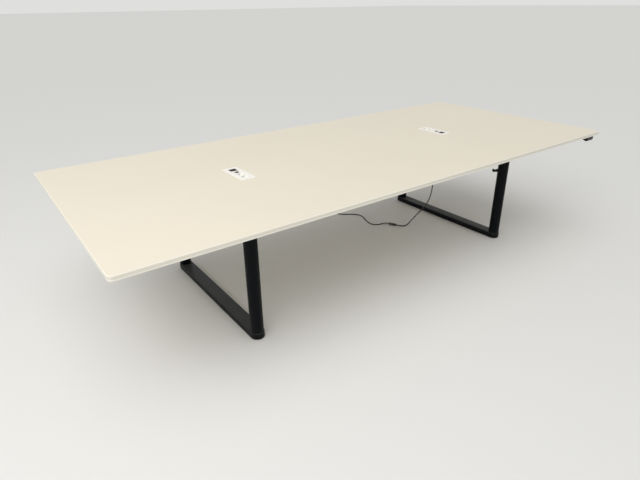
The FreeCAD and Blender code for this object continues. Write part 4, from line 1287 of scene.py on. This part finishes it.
@dataclass
class Handset:
    """The up and down handset under the near edge."""

    x: float = 1.495
    face: float = -0.694
    z: float = 0.6495
    spread: float = 0.033
    nose: float = 0.0075
    tail: float = 0.055
    rise: float = 0.017
    flat: float = 0.020
    arrow_size: Point = (0.0040, 0.0036, 0.0005)
    arrow_share: Point = (1.15, 1.0, 0.8)
    case_arris: float = 0.0006
    key_arris: float = 0.0004
    arrow_arris: float = 0.0001

    def case(self) -> None:
        """Make the housing: its underside rises from the nose with the buttons to the thin tail."""
        low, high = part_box("handset_housing")
        piece = Bench.copy_of("handset_case", "handset_housing")
        nose, tail = low[1] + self.nose, low[1] + self.tail
        for y in (nose, tail):
            piece.cut((self.x, y, self.z), (0.0, 1.0, 0.0))
        piece.shift(lambda spot: spot.y > tail - HAIR and spot.z < high[2] - self.flat, (0.0, 0.0, self.rise))
        piece.arris(self.case_arris).done(Finishes.HANDSET, Body.TOP, ["handset_housing"])

    def arrows(self) -> None:
        """Make the raised arrows on the buttons: the right one points up, and the left one down."""
        Bench.clear()
        base, tip, tall = self.arrow_size
        bpy.ops.mesh.primitive_cone_add(vertices=3, radius1=base, radius2=tip, depth=tall,
                                        location=(0.0, self.face - HAIR, 0.0), rotation=(math.pi / 2, 0.0, 0.0))
        mark = Bench.added(PATTERN).resize(everywhere, self.arrow_share, (0.0, self.face, 0.0))
        mark.arris(self.arrow_arris)
        right, left = (moved(self.x + way * self.spread / 2, 0.0, self.z) for way in (1, -1))
        marks = mark.cast({"up_arrow": right, "down_arrow": left @ Matrix.Rotation(math.pi, 4, "Y")})
        for arrow, body in zip(marks, (Body.UP_BUTTON, Body.DOWN_BUTTON)):
            arrow.done(Finishes.MARK, body, slot="button_plastic")

    def build(self) -> None:
        """Make the housing, the buttons and their arrows."""
        self.case()
        smoothed("up_key", "up_button", Finishes.BUTTON, Body.UP_BUTTON, self.key_arris)
        smoothed("down_key", "down_button", Finishes.BUTTON, Body.DOWN_BUTTON, self.key_arris)
        self.arrows()


@dataclass
class ControlBox:
    """The motor controller below the top."""

    x: float = 0.25
    y: float = 0.18
    under: float = 0.627
    ribs: int = 9
    rib_size: Pair = (0.004, 0.06)
    rib_ends: Pair = (-0.0012, 0.0004)
    rib_pitch: float = 0.011
    ribs_x: float = 0.05
    screw_x: float = 0.137
    screw_z: float = 0.6581
    screw_radius: float = 0.0042
    screw_height: float = 0.0022
    drive_rim: float = 0.0018
    drive_depth: float = 0.001
    rib_corner: float = 0.0018
    case_arris: float = 0.0012
    trim_arris: float = 0.0004

    def build(self) -> None:
        """Make the case with its cooling ribs and ear screws."""
        smoothed("control_case", "control_box", Finishes.CASE, Body.TOP, self.case_arris)
        outline = about(self.x + self.ribs_x, self.y, self.rib_size)
        low, high = raised(self.under, self.rib_ends)
        rib = Bench.block((*outline[:2], low), (*outline[2:], high))
        rib.bevel(upright, self.rib_corner).arris(self.trim_arris)
        ribs = rib.cast({"case_rib_%d" % index: moved((index - (self.ribs - 1) / 2) * self.rib_pitch, 0.0)
                         for index in range(self.ribs)})
        Bench.together(ribs).done(Finishes.CASE, Body.TOP)
        screw = Bench.drum((self.x, self.y, self.screw_z), self.screw_radius, self.screw_height, sides=32)
        screw.pocket(looks_down, self.drive_rim, self.drive_depth).arris(self.trim_arris)
        screws = screw.cast({"ear_screw_%d" % end: moved(end * self.screw_x, 0.0) for end in (-1, 1)})
        Bench.together(screws).done(Finishes.ZINC, Body.TOP)


@dataclass
class Lead:
    """The black lead of the right power unit: down to the floor, through a coupler, and on to its coil."""

    diameter: float = 0.007
    lying: float = 0.0036
    coil_centre: Pair = (0.269, 0.640)
    coil_radius: float = 0.048
    coil_pitch: float = 0.008
    coil_climb: float = 0.0077
    coil_halves: int = 5
    coil_tail: float = 0.036
    bend_start: float = 0.540
    bend_end: float = 0.030
    plug_body: float = 0.0502
    pin_spread: float = 0.019
    pin_radius: float = 0.00246
    pin_length: float = 0.0189
    drop_length: float = 0.740
    floor_length: float = 1.982
    sleeve_radius: float = 0.007
    sleeve_taper: float = 0.68
    sleeve_ribs: int = 5
    rib_start: float = 0.006
    rib_pitch: float = 0.0048
    rib_taper: float = 0.00225
    rib_rise: float = 0.0004
    rib_width: float = 0.0018
    ring_size: Pair = (0.0092, 0.0022)
    ring_place: float = 0.004
    pin_tip: float = 0.0014
    coil_entry: float = 0.007
    moulding_arris: float = 0.0008
    ring_arris: float = 0.0005
    plug_arris: float = 0.0012

    @property
    def drop_route(self) -> list[Point]:
        """The route's own points from the strain relief to the coupler.

        Returns:
            The points, in metres.
        """
        points = [
            (745, 0, 575.4), (749, -5, 500), (756, -15, 420), (758, -22, 340), (756, -22, 265),
            (752, -13, 200), (743, 8, 142), (725, 33, 96), (699, 53, 58), (667, 61, 29),
            (634, 60, 11), (602, 53, 2.0), (570, 52, 1.6), (543.2, 76, 5.5), (534.5, 94, 5.5),
        ]
        return [self._lifted(point) for point in points]

    @property
    def floor_route(self) -> list[Point]:
        """The route's own points from the coupler to where the coil starts.

        Returns:
            The points, in metres.
        """
        points = [
            (508, 149, 5.5), (499.3, 167, 5.5), (473, 186, 0), (445, 188, 0), (422, 203, 0),
            (410, 228, 0), (411, 259, 0), (421, 293, 0), (435, 329, 0), (450, 366, 0),
            (454, 404, 0), (438, 437, 0), (408, 463, 0), (375, 488, 0), (347, 518, 0),
            (328, 555, 0), (317, 595, 0),
        ]
        return [self._lifted(point) for point in points]

    def _lifted(self, point: Point) -> Point:
        """A route's point in metres above the floor."""
        return (point[0] / 1000, point[1] / 1000, point[2] / 1000 + self.lying)

    def coil_points(self) -> list[Point]:
        """The coil's turns: twelve points to a turn, in half turns that draw in, climb and draw out.

        Returns:
            The points, from the floor stretch to the plug.
        """
        spans = [self.coil_radius - self.coil_pitch / 2 * index for index in range(self.coil_halves)]
        spans = spans + [spans[-1] - self.coil_pitch / 2] + spans[::-1]
        x, y = self.coil_centre[0] + self.coil_radius, self.coil_centre[1]
        height, heading = self.lying, 1.0
        points = [(x, y - self.coil_entry, height)]
        for index, span in enumerate(spans):
            middle = x - heading * span
            rise = self.coil_climb if index == self.coil_halves else 0.0
            reach = span / math.cos(math.radians(15))
            for step in range(6):
                angle = math.radians(15 + 30 * step)
                points.append((
                    middle + heading * reach * math.cos(angle),
                    y + heading * reach * math.sin(angle),
                    height + rise * (15 + 30 * step) / 180,
                ))
            x, height, heading = x - 2 * heading * span, height + rise, -heading
        points.append((x, y + heading * self.coil_tail * 0.5, height))
        points.append((x, y + heading * self.coil_tail, height))
        return points

    def cable(self, name: str, points: Sequence[Point]) -> bpy.types.Object:
        """A round cable along one smooth spline.

        Args:
            name: Its name.
            points: The spline's points.

        Returns:
            The curve object.
        """
        curve = bpy.data.curves.new(name, "CURVE")
        curve.dimensions = "3D"
        curve.bevel_depth = self.diameter / 2
        curve.bevel_resolution = 5
        curve.resolution_u = 6
        curve.use_fill_caps = True
        spline = curve.splines.new("NURBS")
        spline.points.add(len(points) - 1)
        for point, place in zip(spline.points, points):
            point.co = (*place, 1.0)
        spline.order_u = 3
        spline.use_endpoint_u = True
        item = bpy.data.objects.new(name, curve)
        bpy.context.scene.collection.objects.link(item)
        curve.materials.append(Finishes.get(Finishes.CABLE))
        return item

    def tube(self, cable: bpy.types.Object) -> list[Point]:
        """Turn a cable into a mesh tube.

        Args:
            cable: The cable's curve.

        Returns:
            The points of its centreline.
        """
        cable.data.bevel_depth = 0.0
        line = bpy.data.meshes.new_from_object(cable)
        path = [tuple(corner.co) for corner in line.vertices]
        bpy.data.meshes.remove(line)
        cable.data.bevel_depth = self.diameter / 2
        Bench(cable).take()
        bpy.ops.object.convert(target="MESH")
        Bench(cable).outward()
        bpy.ops.object.shade_smooth_by_angle(angle=math.radians(40.0))
        return path

    def relief(self) -> bpy.types.Object:
        """Make the strain relief: a tapered sleeve with grip grooves.

        Returns:
            The sleeve.
        """
        low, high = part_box("strain_relief")
        x, y = (low[0] + high[0]) / 2, (low[1] + high[1]) / 2
        tall, top, taper = high[2] - low[2], self.sleeve_radius, self.sleeve_taper
        sleeve = Bench.drum((x, y, high[2] - tall / 2), top, tall, sides=40, name="relief_sleeve")
        sleeve.resize(lambda spot: spot.z < low[2] + CLIMB, (taper, taper, 1.0), (x, y, low[2]))
        rings = [sleeve.arris(self.moulding_arris)]
        for index in range(self.sleeve_ribs):
            drop = self.rib_start + index * self.rib_pitch
            radius = top - self.rib_taper * drop / tall + self.rib_rise
            rib = Bench.drum((x, y, high[2] - drop), radius, self.rib_width, sides=40)
            rings.append(rib.arris(self.ring_arris))
        return Bench.together(rings).done(Finishes.CABLE, Body.TOP, ["strain_relief"])

    def coupler(self) -> tuple[bpy.types.Object, bpy.types.Object, bpy.types.Object]:
        """Make the two halves of the inline coupler and the pale ring between them.

        Returns:
            The socket half, the plug half and the ring.
        """
        socket = smoothed("coupler_female", "coupler_socket", Finishes.COUPLER, Body.BASE, self.moulding_arris)
        plug = smoothed("coupler_male", "coupler_plug", Finishes.COUPLER, Body.BASE, self.moulding_arris)
        start, end = Vector(self.drop_route[-1]), Vector(self.floor_route[0])
        along = (end - start).normalized()
        middle = (start + end) / 2 + along * self.ring_place
        ring = Bench.drum(tuple(middle), *self.ring_size, tuple(along), name="coupler_ring").arris(self.ring_arris)
        return socket, plug, ring.done(Finishes.PALE_BAND, Body.BASE, slot="coupler_plastic")

    def plug_pins(self) -> bpy.types.Object:
        """Make the mains plug's two plated pins, rounded at their tips.

        Returns:
            The pins.
        """
        last, before = Vector(self.coil_points()[-1]), Vector(self.coil_points()[-2])
        ahead = (last - before).normalized()
        middle = last + ahead * (self.plug_body + self.pin_length / 2)
        pin = Bench.drum(tuple(middle), self.pin_radius, self.pin_length, tuple(ahead), 32)
        near_tip = self.pin_length * 0.4
        pin.bevel(lambda a, b: min((a - middle).dot(ahead), (b - middle).dot(ahead)) > near_tip, self.pin_tip, 4)
        half = self.pin_spread / 2
        pins = pin.cast({"plug_pins": moved(-half, 0.0), "second_pin": moved(half, 0.0)})
        return Bench.together(pins).done(Finishes.ZINC, Body.BASE)

    def build(self) -> None:
        """Make both stretches of the lead with what is on them."""
        relief = self.relief()
        drop = self.cable("drop_cable", self.drop_route)
        path = self.tube(drop)
        end = self.drop_route[-1]
        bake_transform(drop)
        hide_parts("lead_drop")
        self.drop_route[0]
        socket, plug, band = self.coupler()
        mains = smoothed("mains_plug_body", "mains_plug", Finishes.PLUG, Body.BASE, self.plug_arris)
        pins = self.plug_pins()
        run = self.cable("floor_cable", self.floor_route + self.coil_points())
        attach(run, Body.BASE.value)
        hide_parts("lead_floor", "lead_coil")
        self.floor_route[0]


@dataclass
class Studio:
    """The camera, the pale floor and the light."""

    eye: Point = (-1.8645, -2.2423, 1.4878)
    yaw: float = 53.8655
    pitch: float = 25.7695
    roll: float = 0.7311
    lens: float = 27.7945
    pale: Colour = (0.80, 0.80, 0.79)
    sky: float = 0.53
    backdrop: float = 0.74
    sun: float = 0.97
    sun_angle: float = 75.0
    sun_aim: Point = (0.35, 0.25, -1.0)
    sun_colour: Colour = (1.0, 0.99, 0.97)
    window_place: Point = (-3.1, -1.5, 3.2)
    window_aim: Point = (-0.9, 0.0, 0.6)
    window_size: Pair = (2.6, 1.8)
    window_power: float = 46.0
    window_colour: Colour = (1.0, 0.985, 0.955)
    floor_size: float = 240.0
    clip_end: float = 400.0

    def camera(self) -> None:
        """Set the camera where the photograph was taken from."""
        yaw, pitch, roll = (math.radians(angle) for angle in (self.yaw, self.pitch, self.roll))
        ahead = Vector((math.cos(pitch) * math.cos(yaw), math.cos(pitch) * math.sin(yaw), -math.sin(pitch)))
        right = Vector((math.sin(yaw), -math.cos(yaw), 0.0))
        down = ahead.cross(right)
        across = right * math.cos(roll) + down * math.sin(roll)
        below = down * math.cos(roll) - right * math.sin(roll)
        turn = Matrix((across, -below, -ahead)).transposed().to_4x4()
        data = bpy.data.cameras.new("camera")
        data.lens = self.lens
        data.sensor_width = 36.0
        data.sensor_fit = "HORIZONTAL"
        data.clip_end = self.clip_end
        camera = bpy.data.objects.new("camera", data)
        camera.matrix_world = Matrix.Translation(Vector(self.eye)) @ turn
        bpy.context.scene.collection.objects.link(camera)
        bpy.context.scene.camera = camera

    def daylight(self) -> None:
        """Add the wide, soft main light, from above and a little from the near left."""
        data = bpy.data.lights.new("daylight", "SUN")
        data.energy = self.sun
        data.angle = math.radians(self.sun_angle)
        data.color = self.sun_colour
        lamp = bpy.data.objects.new("daylight", data)
        lamp.rotation_euler = Vector(self.sun_aim).to_track_quat("-Z", "Y").to_euler()
        bpy.context.scene.collection.objects.link(lamp)

    def window(self) -> None:
        """Add the soft light of a window at the near left."""
        data = bpy.data.lights.new("near_window", "AREA")
        data.shape = "RECTANGLE"
        data.size, data.size_y = self.window_size
        data.energy = self.window_power
        data.color = self.window_colour
        lamp = bpy.data.objects.new("near_window", data)
        lamp.location = self.window_place
        aim = Vector(self.window_aim) - Vector(self.window_place)
        lamp.rotation_euler = aim.to_track_quat("-Z", "Y").to_euler()
        bpy.context.scene.collection.objects.link(lamp)

    def floor(self) -> None:
        """Lay the plain pale floor."""
        Bench.clear()
        bpy.ops.mesh.primitive_plane_add(size=self.floor_size, location=(0.0, 0.0, 0.0))
        plane = bpy.context.object
        plane.name = "studio_floor"
        pale = bpy.data.materials.new("studio_floor")
        Graph(pale).surface("ShaderNodeBsdfPrincipled", {"Base Color": (*self.pale, 1.0), "Roughness": 1.0,
                                                         "Specular IOR Level": 0.0})
        plane.data.materials.append(pale)

    def world(self) -> None:
        """Light the scene evenly, with a backdrop as pale as the floor."""
        world = bpy.data.worlds.new("studio")
        graph = Graph(world)
        camera, glossy, through = (graph.node("ShaderNodeLightPath", output="Is %s Ray" % kind)
                                   for kind in ("Camera", "Glossy", "Transmission"))
        seen = graph.maths("MAXIMUM", graph.maths("MAXIMUM", camera, glossy), through)
        strength = graph.node("ShaderNodeMapRange", {}, {"Value": seen, "To Min": self.sky, "To Max": self.backdrop})
        graph.surface("ShaderNodeBackground", {"Color": (1.0, 1.0, 0.99, 1.0), "Strength": strength})
        bpy.context.scene.world = world

    def build(self) -> None:
        """Set the stage."""
        bpy.context.scene.view_settings.view_transform = "Standard"
        self.camera()
        self.floor()
        self.world()
        self.daylight()
        self.window()


def main() -> None:
    """Build the table's looks, one sub-assembly after another."""
    logging.basicConfig(level=logging.INFO, format="%(message)s")
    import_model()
    for part in (Studio(), Lead(), TableTop(), Columns(), Feet(), Steelwork(), PowerUnits(), Handset(), ControlBox()):
        part.build()
        LOG.info("%s is dressed", type(part).__name__)


if __name__ == "__main__":
    main()
